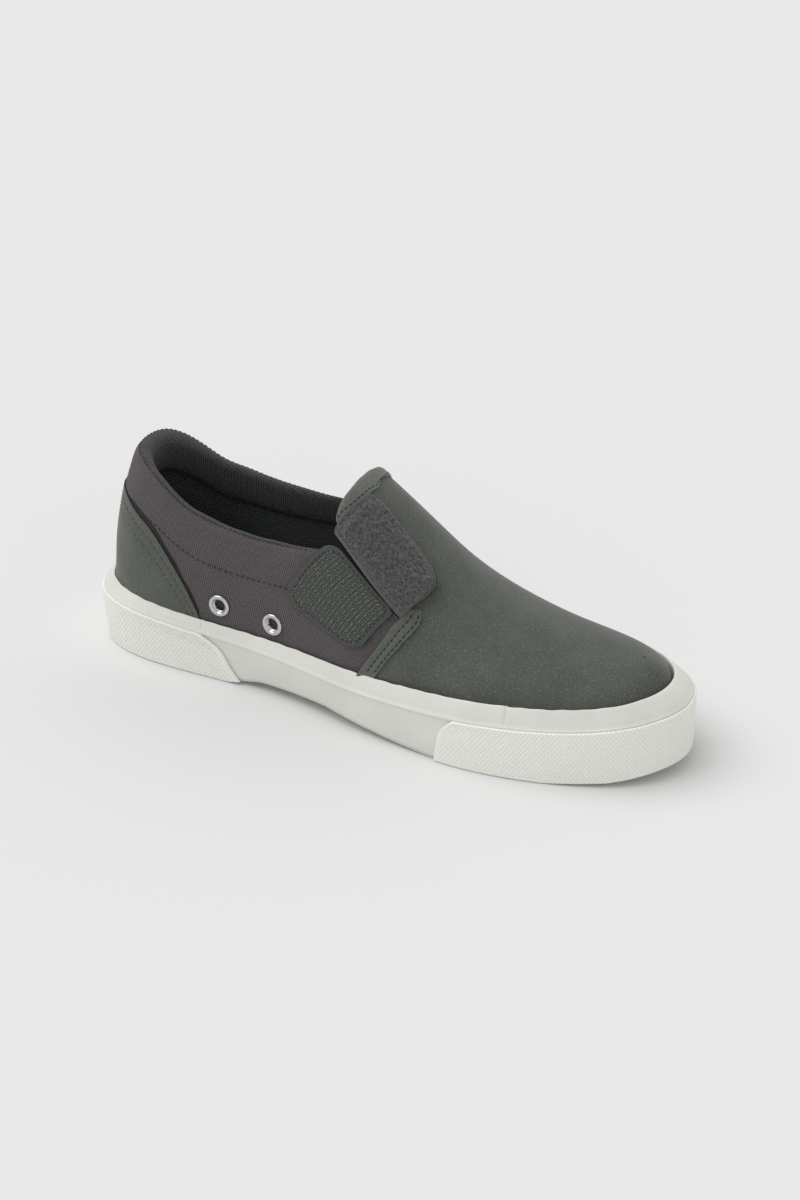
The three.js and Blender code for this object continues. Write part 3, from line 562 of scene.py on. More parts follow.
def tread_diamonds(tree, given):
    """Raised diamonds between slanted grooves."""
    parts = axes(tree, given)
    x = calc(tree, "DIVIDE", parts["X"], given["Width"])
    y = calc(tree, "DIVIDE", parts["Y"], given["Height"])
    a = calc(tree, "PINGPONG", calc(tree, "ADD", x, y), 0.5)
    b = calc(tree, "PINGPONG", calc(tree, "SUBTRACT", x, y), 0.5)
    lump = ranged(tree, calc(tree, "MINIMUM", a, b), 0.03, 0.30)
    return {"Lump": lump, "Groove": calc(tree, "SUBTRACT", 1.0, lump)}


def dust_and_wear(tree, given):
    """Light dust that thins with height, and faint blotches."""
    parts = axes(tree, given)
    low = ranged(tree, parts["Z"], given["Top"], 0.0)
    blotch = noise(tree, given["Vector"], 34.0, 4.0, 0.55)
    grit = noise(tree, given["Vector"], 420.0, 3.0, 0.7)
    patches = calc(tree, "MULTIPLY", low, ranged(tree, blotch, 0.4, 0.75))
    dust = calc(tree, "MULTIPLY", patches, ranged(tree, grit, 0.35, 0.7))
    return {"Dust": dust, "Blotch": blotch, "Grit": grit}


RIB = effect("rib_weave", {"Vector": 0, "Rib": 0.0011, "Pick": 0.0009, "Stray": 0.0002},
             ["Height", "Yarn"], rib_weave)
KNIT = effect("mesh_knit", {"Vector": 0, "Pitch": 0.0024}, ["Height", "Loop"], mesh_knit)
FIBRE = effect("brushed_fibre", {"Vector": 0, "Scale": 1100.0}, ["Height", "Pale", "Patch"],
               brushed_fibre)
DIAMONDS = effect("tread_diamonds", {"Vector": 0, "Width": 0.0019, "Height": 0.0024},
                  ["Lump", "Groove"], tread_diamonds)
DUST = effect("dust_and_wear", {"Vector": 0, "Top": 0.03}, ["Dust", "Blotch", "Grit"], dust_and_wear)


def place_effect(tree, group, vector, **values):
    return add_node(tree, "ShaderNodeGroup", {"Vector": vector, **values}, node_tree=group).outputs


def new_material(name, roughness, specular=0.3, sheen=0.0, sheen_rough=0.5, coat=0.0, metallic=0.0):
    material = bpy.data.materials.new(name)
    material.use_nodes = True
    tree = material.node_tree
    shader = tree.nodes["Principled BSDF"]
    shader.inputs["Roughness"].default_value = roughness
    shader.inputs["Specular IOR Level"].default_value = specular
    shader.inputs["Sheen Weight"].default_value = sheen
    shader.inputs["Sheen Roughness"].default_value = sheen_rough
    shader.inputs["Coat Weight"].default_value = coat
    shader.inputs["Metallic"].default_value = metallic
    return material, tree, shader, tree.nodes.new("ShaderNodeTexCoord").outputs


def bump(tree, shader, height, distance, strength=1.0, base=None):
    feeds = {"Height": height, "Distance": distance, "Strength": strength}
    if base is not None:
        feeds["Normal"] = base
    out = add_node(tree, "ShaderNodeBump", feeds).outputs["Normal"]
    feed(tree, shader.inputs["Normal"], out)
    return out


def grey(red, green, blue, lift=1.0):
    def linear(c):
        c /= 255
        return lift * (c / 12.92 if c <= 0.04045 else ((c + 0.055) / 1.055) ** 2.4)
    return linear(red), linear(green), linear(blue), 1


def microfibre_material(name, colour, pale, dark):
    material, tree, shader, where = new_material(name, 0.86, specular=0.22, sheen=0.22,
                                                 sheen_rough=0.45)
    fibre = place_effect(tree, FIBRE, where["Object"], Scale=1250.0)
    tone = blend(tree, ranged(tree, fibre["Patch"], 0.3, 0.7), dark, colour)
    tone = blend(tree, ranged(tree, fibre["Height"], 0.62, 0.35, 0.0, 0.35), tone, dark)
    tone = blend(tree, calc(tree, "MULTIPLY", fibre["Pale"], 0.42), tone, pale)
    dust = place_effect(tree, DUST, where["Object"], Top=0.036)
    tone = blend(tree, calc(tree, "MULTIPLY", dust["Dust"], 0.12), tone, grey(150, 148, 140))
    feed(tree, shader.inputs["Base Color"], tone)
    feed(tree, shader.inputs["Roughness"], ranged(tree, fibre["Height"], 0.2, 0.8, 0.76, 0.94))
    bump(tree, shader, fibre["Height"], 0.00025, 0.55)
    return material


def canvas_material():
    material, tree, shader, where = new_material("grey_rib_canvas", 0.92, specular=0.18, sheen=0.08)
    weave = place_effect(tree, RIB, where["UV"], Rib=0.00098, Pick=0.0009, Stray=0.0002)
    tone = blend(tree, ranged(tree, weave["Height"], 0.1, 1.0), grey(64, 60, 61), grey(99, 93, 95))
    tone = blend(tree, ranged(tree, weave["Yarn"], 0.45, 0.75, 0.0, 0.35), tone, grey(122, 118, 119))
    dust = place_effect(tree, DUST, where["Object"], Top=0.034)
    blotch = calc(tree, "MULTIPLY", ranged(tree, dust["Blotch"], 0.35, 0.7), 0.14)
    tone = blend(tree, blotch, tone, grey(80, 74, 74))
    feed(tree, shader.inputs["Base Color"], tone)
    bump(tree, shader, weave["Height"], 0.0003, 0.55)
    return material


def lining_material(name, low, high, pitch):
    material, tree, shader, where = new_material(name, 0.9, specular=0.2, sheen=0.1)
    knit = place_effect(tree, KNIT, where["UV"], Pitch=pitch)
    tone = blend(tree, ranged(tree, knit["Loop"], -0.5, 0.6), low, high)
    feed(tree, shader.inputs["Base Color"], tone)
    bump(tree, shader, knit["Height"], 0.0003, 0.6)
    return material


def rubber_material(name, diamonds):
    material, tree, shader, where = new_material(name, 0.5, specular=0.42, coat=0.04)
    dust = place_effect(tree, DUST, where["Object"], Top=0.028)
    pale = grey(219, 220, 212), grey(227, 228, 221)
    if diamonds:
        pale = grey(246, 247, 239), grey(250, 251, 245)
    clean = blend(tree, ranged(tree, dust["Blotch"], 0.35, 0.7), *pale)
    tone = blend(tree, calc(tree, "MULTIPLY", dust["Dust"], 0.10), clean, grey(180, 177, 165))
    rough = ranged(tree, dust["Grit"], 0.3, 0.7, 0.42, 0.58)
    fine = bump(tree, shader, dust["Grit"], 0.00008, 0.35)
    if diamonds:
        tread = place_effect(tree, DIAMONDS, where["UV"], Width=TREAD_WIDTH * MM,
                             Height=TREAD_HEIGHT * MM)
        # The grooves between the diamonds are tinted darker: painted shade in the recesses
        groove = calc(tree, "MULTIPLY", tread["Groove"], 0.22)
        tone = blend(tree, groove, tone, grey(200, 201, 191))
        bump(tree, shader, tread["Lump"], 0.00012, 0.6, base=fine)
    feed(tree, shader.inputs["Base Color"], tone)
    feed(tree, shader.inputs["Roughness"], rough)
    return material


def hook_material():
    material, tree, shader, where = new_material("hook_tape_weave", 0.8, specular=0.3)
    weave = place_effect(tree, RIB, where["UV"], Rib=0.0011, Pick=0.0011, Stray=0.00012)
    tone = blend(tree, ranged(tree, weave["Height"], 0.1, 1.0), grey(50, 52, 49), grey(88, 91, 87))
    feed(tree, shader.inputs["Base Color"], tone)
    bump(tree, shader, weave["Height"], 0.0002, 0.5)
    return material


def loop_material():
    material, tree, shader, where = new_material("loop_pile_fuzz", 0.95, specular=0.1, sheen=0.3,
                                                 sheen_rough=0.7)
    mottle = noise(tree, where["Object"], 900.0, 4.0, 0.7)
    curl = noise(tree, where["Object"], 1500.0, 3.0, 0.7)
    tone = blend(tree, ranged(tree, mottle, 0.36, 0.62), grey(24, 25, 24), grey(80, 82, 79))
    tone = blend(tree, ranged(tree, curl, 0.48, 0.70, 0.0, 0.5), tone, grey(112, 114, 111))
    feed(tree, shader.inputs["Base Color"], tone)
    height = calc(tree, "MULTIPLY_ADD", curl, 0.6, mottle)
    bump(tree, shader, height, 0.0009, 0.95)
    return material


def metal_material():
    material, tree, shader, where = new_material("bright_eyelet_metal", 0.2, specular=0.5, metallic=1.0)
    scuff = noise(tree, where["Object"], 700.0, 4.0, 0.6)
    feed(tree, shader.inputs["Base Color"], blend(tree, scuff, grey(196, 197, 196), grey(206, 207, 206)))
    feed(tree, shader.inputs["Roughness"], ranged(tree, scuff, 0.3, 0.7, 0.16, 0.24))
    return material


def thread_material(name, colour, pale):
    material, tree, shader, where = new_material(name, 0.8, specular=0.25)
    twist = noise(tree, where["Object"], 1600.0, 2.0, 0.6)
    feed(tree, shader.inputs["Base Color"], blend(tree, twist, colour, pale))
    bump(tree, shader, twist, 0.0001, 0.6)
    return material


VAMP = microfibre_material("grey_green_microfibre", grey(86, 89, 83), grey(136, 140, 135),
                           grey(77, 80, 75))
TAPE = microfibre_material("tongue_tape_microfibre", grey(106, 109, 103), grey(138, 142, 136),
                           grey(96, 99, 94))
BINDING = microfibre_material("microfibre_edge", grey(95, 98, 92), grey(126, 130, 124),
                              grey(86, 89, 84))
CANVAS = canvas_material()
LINING = lining_material("charcoal_mesh_lining", grey(46, 49, 47), grey(84, 89, 86), 0.0021)
# One collar knit made twice: a lighter copy with painted light for the rim, and a darker copy with
# painted shade for the wall inside the shoe
SHADED_COLLAR_WALL = lining_material("collar_mesh_painted_shade", grey(40, 42, 41), grey(92, 95, 92), 0.0021)
COLLAR = lining_material("collar_knit_painted_light", grey(44, 46, 45), grey(98, 101, 98), 0.0018)
RUBBER = rubber_material("off_white_rubber", False)
DIAMOND_RUBBER = rubber_material("diamond_rubber", True)
HOOK = hook_material()
LOOP = loop_material()
METAL = metal_material()
THREAD = thread_material("dark_grey_thread", grey(42, 43, 42), grey(66, 68, 66))
TONAL_THREAD = thread_material("tonal_thread", grey(60, 63, 58), grey(90, 94, 88))
# Dark tone for cut edges: partly the edges' own dark colour, partly painted shadow along the counter's
# edge and under the strap's lifted edge
RAW_EDGE_AND_SHADOW = thread_material("raw_edge_and_painted_shadow", grey(34, 35, 33), grey(52, 53, 50))
COUNTER = microfibre_material("counter_microfibre", grey(91, 94, 87), grey(130, 134, 127),
                              grey(82, 85, 78))
HOOK_TIPS = thread_material("pale_hook_loops", grey(92, 95, 91), grey(132, 135, 130))
CANVAS_THREAD = thread_material("dark_brown_thread", grey(44, 40, 40), grey(74, 68, 68))


def fold_press(points):
    """How far the vamp's folds lie in or out at each point."""
    press = 0.09 * ripple(points[..., 0], points[..., 1], 58, 0.7)
    for start, end, width, depth in vamp_folds:
        a, b = np.array(start, float), np.array(end, float)
        run = b - a
        share = ((points[..., 0] - a[0]) * run[0] + (points[..., 1] - a[1]) * run[1]) / (run @ run)
        near = a + np.clip(share, 0, 1)[..., None] * run
        away = np.hypot(points[..., 0] - near[..., 0], points[..., 1] - near[..., 1])
        press = press - depth * bump_rows(away, width)
    return press


def vamp_start(rise, side):
    medial = np.interp(rise, vamp_rear_medial["rise"], vamp_rear_medial["along"])
    lateral = np.interp(rise, vamp_rear_lateral["rise"], vamp_rear_lateral["along"])
    return np.where(side < 0, medial, lateral)


def vamp():
    u, w = mesh_shares(shares(150), shares(168, -1, 1))
    side = np.where(w < 0, MEDIAL, LATERAL)
    rise = 1 - np.abs(w) * 0.9
    for _ in range(2):
        start = turn_of(vamp_start(rise, side), 1)
        turn = side * (start + (math.pi - start) * u)
        rise = 1 - np.abs(w) * (1 - foot_rise(turn))
    along = along_of(turn)
    press = fold_press(last_point(turn, rise)) * ramp(rise, 0.12, 0.15)
    bulge = bump_rows(along - 0.86, 0.11) * bump_rows(rise - 0.5, 0.28) * ramp(1 - along, 0, 0.05)
    press = press + TOE_BULGE * bulge * (side > 0)
    outer = skin(turn, rise, VAMP_FACE + press)
    inner = skin(turn, rise, VAMP_FACE - VAMP_THICKNESS + press)
    crest_end = skin(math.pi, 1.0, VAMP_FACE)
    piece = sew("vamp_and_tongue", outer, [VAMP, LINING], inner=inner,
                relax=(crest_end, 7))
    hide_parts("upper")


COLLAR_TUCK = 1.5


def quarter_top(turn):
    along = along_of(turn)
    edge = collar_rise(turn, CANVAS_FACE - COLLAR_TUCK, 0.1)
    lower = smooth(slit, "quarter")(along)
    share = ramp(along, 0.41, 0.045)
    share = np.where(turn < 0, eased(share), 0)
    return edge * (1 - share) + lower * share


def quarter_grid(columns, rows):
    u, v = mesh_shares(shares(columns, -1, 1), 1 - (1 - shares(rows)) ** 1.25)
    front = smooth(quarter_front, "along", "rise")(0.12 + 0.36 * v)
    side = np.where(u < 0, MEDIAL, LATERAL)
    reach = np.where(side < 0, front, np.minimum(front, 0.55 - 0.09 * ramp(v, 0.55, 0.45)))
    turn = u * turn_of(reach, 1)
    foot, top = foot_rise(turn), quarter_top(turn)
    return turn, foot + (top - foot) * v, v


def quarters():
    turn, rise, v = quarter_grid(260, 60)
    along = along_of(turn)
    seam = (rise - smooth(quarter_seam, "rise")(along)) * RISE_SPAN
    seam_there = ramp(along, 0.09, 0.02)
    pad = 0.25 * ramp(seam, 0, 6) * ramp(1 - v, 0, 0.12) * ramp(0.36 - along, 0, 0.1)
    press = -0.35 * bump_rows(seam, 1.2) * seam_there + pad
    points = last_point(turn, rise)
    press = press + 0.16 * ripple(points[..., 0], points[..., 2], 30, 1.9)
    tuck = COLLAR_TUCK * ramp(v, 0.93, 0.07) ** 2 * ramp(0.43 - along, 0, 0.05)
    outer = skin(turn, rise, CANVAS_FACE + press - tuck)
    inner = skin(turn, rise, CANVAS_FACE - CANVAS_THICKNESS + press - tuck)
    holes = [(skin(turn_of(a, MEDIAL), r, CANVAS_FACE), EYELET_HOLE)
             for a, r in eyelets.values()]
    piece = sew("canvas_quarters", outer, [CANVAS, LINING], inner=inner, holes=holes)
    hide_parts("upper")


def lining():
    turn, rise, v = quarter_grid(170, 40)
    foot, low = foot_rise(turn), foot_rise(turn, 12)
    rise = low + (rise - foot) * (1 - low) / (1 - foot)
    top = collar_rise(turn, -4.0, -9.0)
    rise = np.minimum(low + (top - low) * v, rise + 0.2)
    bulge = 2.2 * np.sin(np.pi * v) ** 2 * ramp(0.45 - along_of(turn), 0, 0.2)
    outer = skin(turn, rise, -UPPER_WALL - bulge)
    inner = skin(turn, rise, -1.75 - 0.25 * bulge)
    piece = sew("mesh_lining", outer, [LINING], inner=inner, rim=0)
    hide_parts("upper")


# Collar section: depth in from the canvas as a share of the roll, lift in mm, share of its drop
collar_section = table("depth lift drop", [
    (0, -1.2, 0), (0, -0.3, 0), (0.10, 0.25, 0), (0.28, 0.45, 0), (0.48, 0.35, 0), (0.70, -0.25, 0),
    (0.90, -1.5, 0), (1.0, -3.0, 0), (1.04, -1.0, 0.3), (1.03, -1.0, 0.55), (0.93, -0.5, 0.8),
    (0.68, 0, 0.97), (0.40, 0, 1.0), (0.16, 0, 0.85), (0.05, 0, 0.45), (0, -1.4, 0.12)])
collar_taper = table("along thick drop", [
    (0, 6.8, 21), (0.04, 6.4, 21), (0.1, 5.2, 19.5), (0.2, 3.9, 16.5), (0.32, 2.8, 14), (0.42, 1.7, 12),
    (0.45, 1.5, 11)])
RIM_ROWS, COLLAR_ROWS = 15, 44


def closed_rows(rows, count):
    """The section's loop, drawn smooth and closed."""
    n = len(next(iter(rows.values())))
    turns = np.arange(-n, 2 * n + 1)
    wanted = np.arange(count + 1) * n / count
    return {name: spline(turns, column[turns % n])(wanted) for name, column in rows.items()}


def collar_padding():
    ring = closed_rows(collar_section, COLLAR_ROWS)
    end = turn_of(0.437, LATERAL)
    turn, k = mesh_shares(shares(230, -end, end), np.arange(COLLAR_ROWS + 1))
    along = along_of(turn)
    thick, drop = smooth(collar_taper, "thick")(along), smooth(collar_taper, "drop")(along)
    depth = 1.1 - CANVAS_FACE + ring["depth"][k] * thick
    lift = ring["lift"][k] - ring["drop"][k] * drop
    puff = 0.2 * ripple(along * 420, along * 90, 34, 0.4) * bump_rows(k - 10, 7)
    points = skin(turn, collar_rise(turn, -depth, lift), -depth)
    points[..., 2] += puff
    # Rim rows take the knit with painted light; rows down the inner wall take the knit with painted
    # shade
    bands = [0 if row < RIM_ROWS else 1 for row in range(COLLAR_ROWS + 1)]
    piece = sew("padded_collar", points, [COLLAR, SHADED_COLLAR_WALL], bands=bands)
    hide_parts("collar_roll")


FOOTBED_THICKNESS = 5


def footbed():
    turn, v = mesh_shares(shares(90, 0.05, math.pi - 0.05), shares(30, -1, 1))
    along = along_of(turn)
    inset = feather_inset(along) - CANVAS_FACE + UPPER_WALL + 3 * GAP
    left, right = plan(-turn, inset), plan(turn, inset)
    share = (v + 1) / 2
    x = left[0] + (right[0] - left[0]) * share
    y = left[1] + (right[1] - left[1]) * share
    base = base_height(along)
    top = np.stack([x, y, base + FOOTBED_THICKNESS + 1.5 * np.abs(v) ** 4], -1)
    under = np.stack([x, y, base + 0.05], -1)
    piece = sew("cushioned_footbed", top, [LINING], inner=under, rim=0)
    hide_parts("insole")


COUNTER_FACE = 0.45


def counter_edge(turn):
    return smooth(counter_top, "rise")(along_of(turn))


def counter():
    end = turn_of(COUNTER_END, LATERAL)
    turn, v = mesh_shares(shares(150, -end, end), shares(40))
    top = counter_edge(turn)
    foot = foot_rise(turn, 1.5)
    rise = foot + (top - foot) * v
    down = (top - rise) * RISE_SPAN
    press = -0.2 * sum(bump_rows(down - row, 0.8) for row in COUNTER_ROWS)
    points = last_point(turn, rise)
    press = press + 0.15 * ripple(points[..., 1], points[..., 2], 28, 2.4)
    outer = skin(turn, rise, COUNTER_FACE + press)
    inner = skin(turn, rise, CANVAS_FACE + 0.05)
    # The counter's edge faces are dark: partly the raw edge's own colour, partly painted shadow
    piece = sew("heel_counter_panel", outer, [COUNTER, COUNTER, RAW_EDGE_AND_SHADOW],
                inner=inner, rim=0.2)
    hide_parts("heel_counter")
    # A thin dark strip lying on the quarter just above the counter's edge: partly raw edge, partly
    # painted shadow of the step
    turn, v = mesh_shares(shares(150, -end, end), shares(4))
    rise = counter_edge(turn) + (1.7 * v - 0.6) / RISE_SPAN
    outer = skin(turn, rise, CANVAS_FACE + 0.3 * np.sin(np.pi * (0.2 + 0.8 * v)))
    inner = skin(turn, rise, CANVAS_FACE - 0.2)
    piece = sew("counter_raw_edge_and_shadow", outer, [RAW_EDGE_AND_SHADOW], inner=inner, rim=0)
    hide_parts("heel_counter")


def band_point(rows, side, u, v):
    def column(name):
        return smooth(rows, name, "share")(u)
    along = column("rear_along") + (column("front_along") - column("rear_along")) * v
    turn = turn_of(along, side)
    foot = foot_rise(turn, 1.5)
    base, end = rows["rear_rise"][0], rows["rear_rise"][-1]
    climb = column("rear_rise") + (column("front_rise") - column("rear_rise")) * v - base
    return turn, foot + climb * (end - foot) / (end - base)


BAND_FACE = 0.85


def edge_band(name, node, rows, side):
    u, v = mesh_shares(shares(60), shares(24))
    turn, rise = band_point(rows, side, u, v)
    press = 0.35 * bump_rows(v - 0.1, 0.2) - 0.2 * sum(bump_rows(v - row, 0.07) for row in BAND_ROWS)
    outer = skin(turn, rise, VAMP_FACE + BAND_FACE + press)
    inner = skin(turn, rise, VAMP_FACE + 0.1)
    piece = sew(name, outer, [BINDING], inner=inner, rim=0.3)
    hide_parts(node)


def binding():
    w, s = mesh_shares(shares(110, -0.395, 0.48), shares(32))
    side = np.where(w < 0, MEDIAL, LATERAL)
    rise = 1 - np.abs(w)
    rear = vamp_start(rise, side) * LENGTH
    front = smooth(binding_front, "along", "rise")(rise) * LENGTH
    narrow = rear + np.maximum(6.9 - 30 * np.abs(w), 4.2)
    front = np.where(side > 0, np.minimum(front, narrow), front)
    run = ramp(np.abs(s - 0.5) * 2, 0.12, 0.88)
    swing = ramp(s, 0.44, 0.12) * np.pi

    def laid(bulk):
        radius = 0.62 + bulk
        x = rear + (front - rear) * run - radius * np.sin(swing)
        middle = VAMP_FACE - 0.65
        return skin(turn_of(x / LENGTH, side), rise, middle + radius * np.cos(swing))
    piece = sew("tongue_binding_tape", laid(0.75), [TAPE], inner=laid(0), rim=0.25)
    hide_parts("tongue_binding")


def patch_spot(corners, t, v):
    def mix(k):
        low = corners[0][k] + (corners[1][k] - corners[0][k]) * t
        high = corners[3][k] + (corners[2][k] - corners[3][k]) * t
        return low + (high - low) * v
    return turn_of(mix(0), MEDIAL), mix(1)


def corner_cut(corners, t):
    """How far the rounded corners shorten the patch at its low and its high side."""
    def one(reach, radius):
        near = np.clip(radius - reach, 0, None) / radius
        return radius * (1 - np.sqrt(1 - near * near * 0.985))
    radii = [corner[2] for corner in corners]
    return one(t, radii[0]) + one(1 - t, radii[1]), one(t, radii[3]) + one(1 - t, radii[2])


def patch_shares(count):
    t = shares(count)
    return 0.5 - 0.5 * np.cos(np.pi * (0.06 + 0.88 * t)) / np.cos(np.pi * 0.06)


def patch_grid(corners, columns, rows):
    t, v = mesh_shares(patch_shares(columns), shares(rows))
    low, high = corner_cut(corners, t)
    across = low + (1 - low - high) * v
    turn, rise = patch_spot(corners, t, across)
    edge = np.minimum(np.minimum(t, 1 - t), np.minimum(v, 1 - v) * (1 - low - high))
    return t, across, turn, rise, edge


HOOK_COLUMNS, HOOKS = 19, 27


def hook_patch():
    _, _, turn, rise, edge = patch_grid(hook_corners, 80, 80)
    swell = 0.25 * np.sin(np.pi * ramp(edge, 0, 0.07) / 2)
    press = swell - 0.15 * bump_rows(edge - 0.075, 0.02)
    under = GAP / 2 + CANVAS_FACE
    outer = skin(turn, rise, under + PATCH_THICKNESS * 0.85 + press)
    inner = skin(turn, rise, under)
    piece = sew("hook_tape_patch", outer, [HOOK], inner=inner, rim=0.3)
    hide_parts("hook_patch")
    bm = bmesh.new()
    for row in range(HOOK_COLUMNS):
        for n in range(HOOKS):
            a = 0.09 + 0.82 * row / (HOOK_COLUMNS - 1)
            b = 0.07 + 0.86 * (n + 0.5 * (row % 2)) / HOOKS + 0.005 * math.sin(39.3 * row + 11.1 * n)
            low, high = corner_cut(hook_corners, np.float64(a))
            if b < low + 0.07 or b > 0.93 - high or math.sin(7.3 * row * n) > 0.93:
                continue
            spot = patch_spot(hook_corners, a + 0.005 * math.sin(12.9 * row + 78.2 * n), b)
            grow = 1 + 0.3 * math.sin(5.1 * row + 23.7 * n)
            add_bead(bm, skin(*spot, under + PATCH_THICKNESS + 0.2), upright(spot),
                     (0.34 * grow, 0.42 * grow, 0.40), 1)
    add_object("hook_tape_hooks", bm, [HOOK_TIPS])


STRAP_BEVEL = 0.035
STRAP_SEAM = 14
STRAP_DRAW = 0.72
STRAP_TUCK = 0.032


def strap_curl(t, v):
    """The strap's free corner stands up a little."""
    return 1.4 * ramp(t, 0.55, 0.45) ** 2 * v ** 2


def strap_section(t):
    """One section of the folded strap, from its free end round the fold to its tuck."""
    cut = corner_cut(strap_corners, t)[1]
    fold_turn, fold_rise = patch_spot(strap_corners, t, 0)
    edge = float(smooth(slit, "tongue")(along_of(fold_turn)))
    inside = VAMP_FACE - UPPER_WALL - GAP
    tuck = edge + STRAP_TUCK
    middle = (STRAP_LIFT + inside) / 2
    across = shares(9, 1 - float(cut), 0.05)

    def face(v, lift):
        turn, rise = patch_spot(strap_corners, t, v)
        return skin(turn, rise, VAMP_FACE + STRAP_LIFT + lift + strap_curl(t, v))

    def bend(lift, depth):
        return skin(fold_turn, fold_rise - 0.004 * lift, depth)
    points = [face(v, STRAP_THICKNESS) for v in shares(9, across[0] - STRAP_BEVEL, across[-1])]
    points += [bend(STRAP_THICKNESS, middle + 0.6), bend(STRAP_THICKNESS, middle - 0.6)]
    points += [skin(fold_turn, edge - 0.012, inside - STRAP_THICKNESS),
               skin(fold_turn, tuck, inside - STRAP_THICKNESS), skin(fold_turn, tuck, inside),
               skin(fold_turn, edge - 0.002, inside)]
    for depth in (middle - 0.4, middle + 0.4):
        back = skin(fold_turn, edge, depth)
        points.append(bend(0, depth) * (1 - STRAP_DRAW) + back * STRAP_DRAW)
    points += [face(v, 0) for v in across[::-1]]
    points = points[STRAP_SEAM:] + points[:STRAP_SEAM]
    return np.array(points + points[:1])


def strap():
    sections = np.array([strap_section(t) for t in patch_shares(26)])
    # The slanted wall at the strap's free edge is dark: painted shadow of the gap under the lifted edge
    bands = [1 if row == STRAP_SEAM - 1 else 0 for row in range(sections.shape[1])]
    piece = sew("folded_closure_strap", sections, [BINDING, RAW_EDGE_AND_SHADOW], bands=bands)
    rounding = piece.modifiers.new("soft_edges", "SUBSURF")
    rounding.levels = rounding.render_levels = 1
    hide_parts("closure_strap")


def loop_patch():
    t, v, turn, rise, edge = patch_grid(loop_corners, 120, 130)
    border = ramp(edge, 0.035, 0.05)
    points = last_point(turn, rise)
    tuft = fuzz(points, 1.7) + 0.7 * fuzz(points, 0.8) + 0.6 * fuzz(points, 5)
    under = VAMP_FACE + STRAP_LIFT + STRAP_THICKNESS + 0.1 + strap_curl(t, v)
    pile = PATCH_THICKNESS * (0.45 + 0.55 * border) + 0.34 * tuft * border
    outer = skin(turn, rise, under + pile)
    inner = skin(turn, rise, under)
    piece = sew("loop_pile_patch", outer, [LOOP], inner=inner, rim=0.3)
    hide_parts("loop_patch")


# Half section of an eyelet: radius and height over the canvas
eyelet_profile = [
    (2.3, -2.2), (2.6, -2.2), (2.65, 0.25), (4.95, 0.2), (5.0, 0.45), (4.85, 0.8), (4.45, 1.15),
    (3.9, 1.25), (3.4, 1.0), (3.05, 0.45), (2.75, -0.2), (2.45, -0.9), (2.3, -1.6)]


def eyelet_ring(name, along, rise):
    spot = turn_of(along, MEDIAL), rise
    foot = Vector(to_row(skin(*spot, CANVAS_FACE)))
    bm = bmesh.new()
    verts = [bm.verts.new((r * MM, 0, h * MM)) for r, h in eyelet_profile]
    edges = [bm.edges.new((verts[i], verts[(i + 1) % len(verts)])) for i in range(len(verts))]
    bmesh.ops.spin(bm, geom=verts + edges, cent=(0, 0, 0), axis=(0, 0, 1), angle=2 * math.pi,
                   steps=56, use_merge=True, use_duplicate=False)
    bmesh.ops.remove_doubles(bm, verts=bm.verts[:], dist=1e-6)
    bmesh.ops.recalc_face_normals(bm, faces=bm.faces[:])
    bmesh.ops.transform(bm, matrix=Matrix.Translation(foot) @ upright(spot), verts=bm.verts[:])
    piece = add_object(f"{name}_ring", bm, [METAL])
    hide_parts(name)


# Where the foxing strip is joined on the medial side, and how deep each joint sinks
JOINTS = {212: 0.75, 62: 0.45}
# Foxing section from the floor, over the ridge line and the sloping band, to the feather edge
foxing_section = table("inset_kind inset lift_kind lift", [
    (0, 1.0, 0, 0.0), (0, 0.75, 0, 0.12), (0, 0.42, 0, 0.4), (0, 0.12, 0, 0.7), (0, 0.0, 1, -1.9),
    (0, 0.0, 1, -1.3), (1, 0.12, 1, -0.8), (1, 0.85, 1, -0.72), (1, 1.0, 1, -0.55), (1, 1.0, 1, -0.1),
    (1, 0.80, 1, 0.2), (2, 0.02, 1, 0.45), (2, 0.10, 2, 0.16), (2, 0.30, 2, 0.40), (2, 0.52, 2, 0.64),
    (2, 0.72, 2, 0.84), (2, 0.86, 2, 0.965), (2, 0.95, 2, 1.0), (2, 1.0, 2, 0.965), (2, 1.02, 2, 0.8),
    (2, 1.02, 2, 0.2), (2, 1.02, 0, 0.0)])


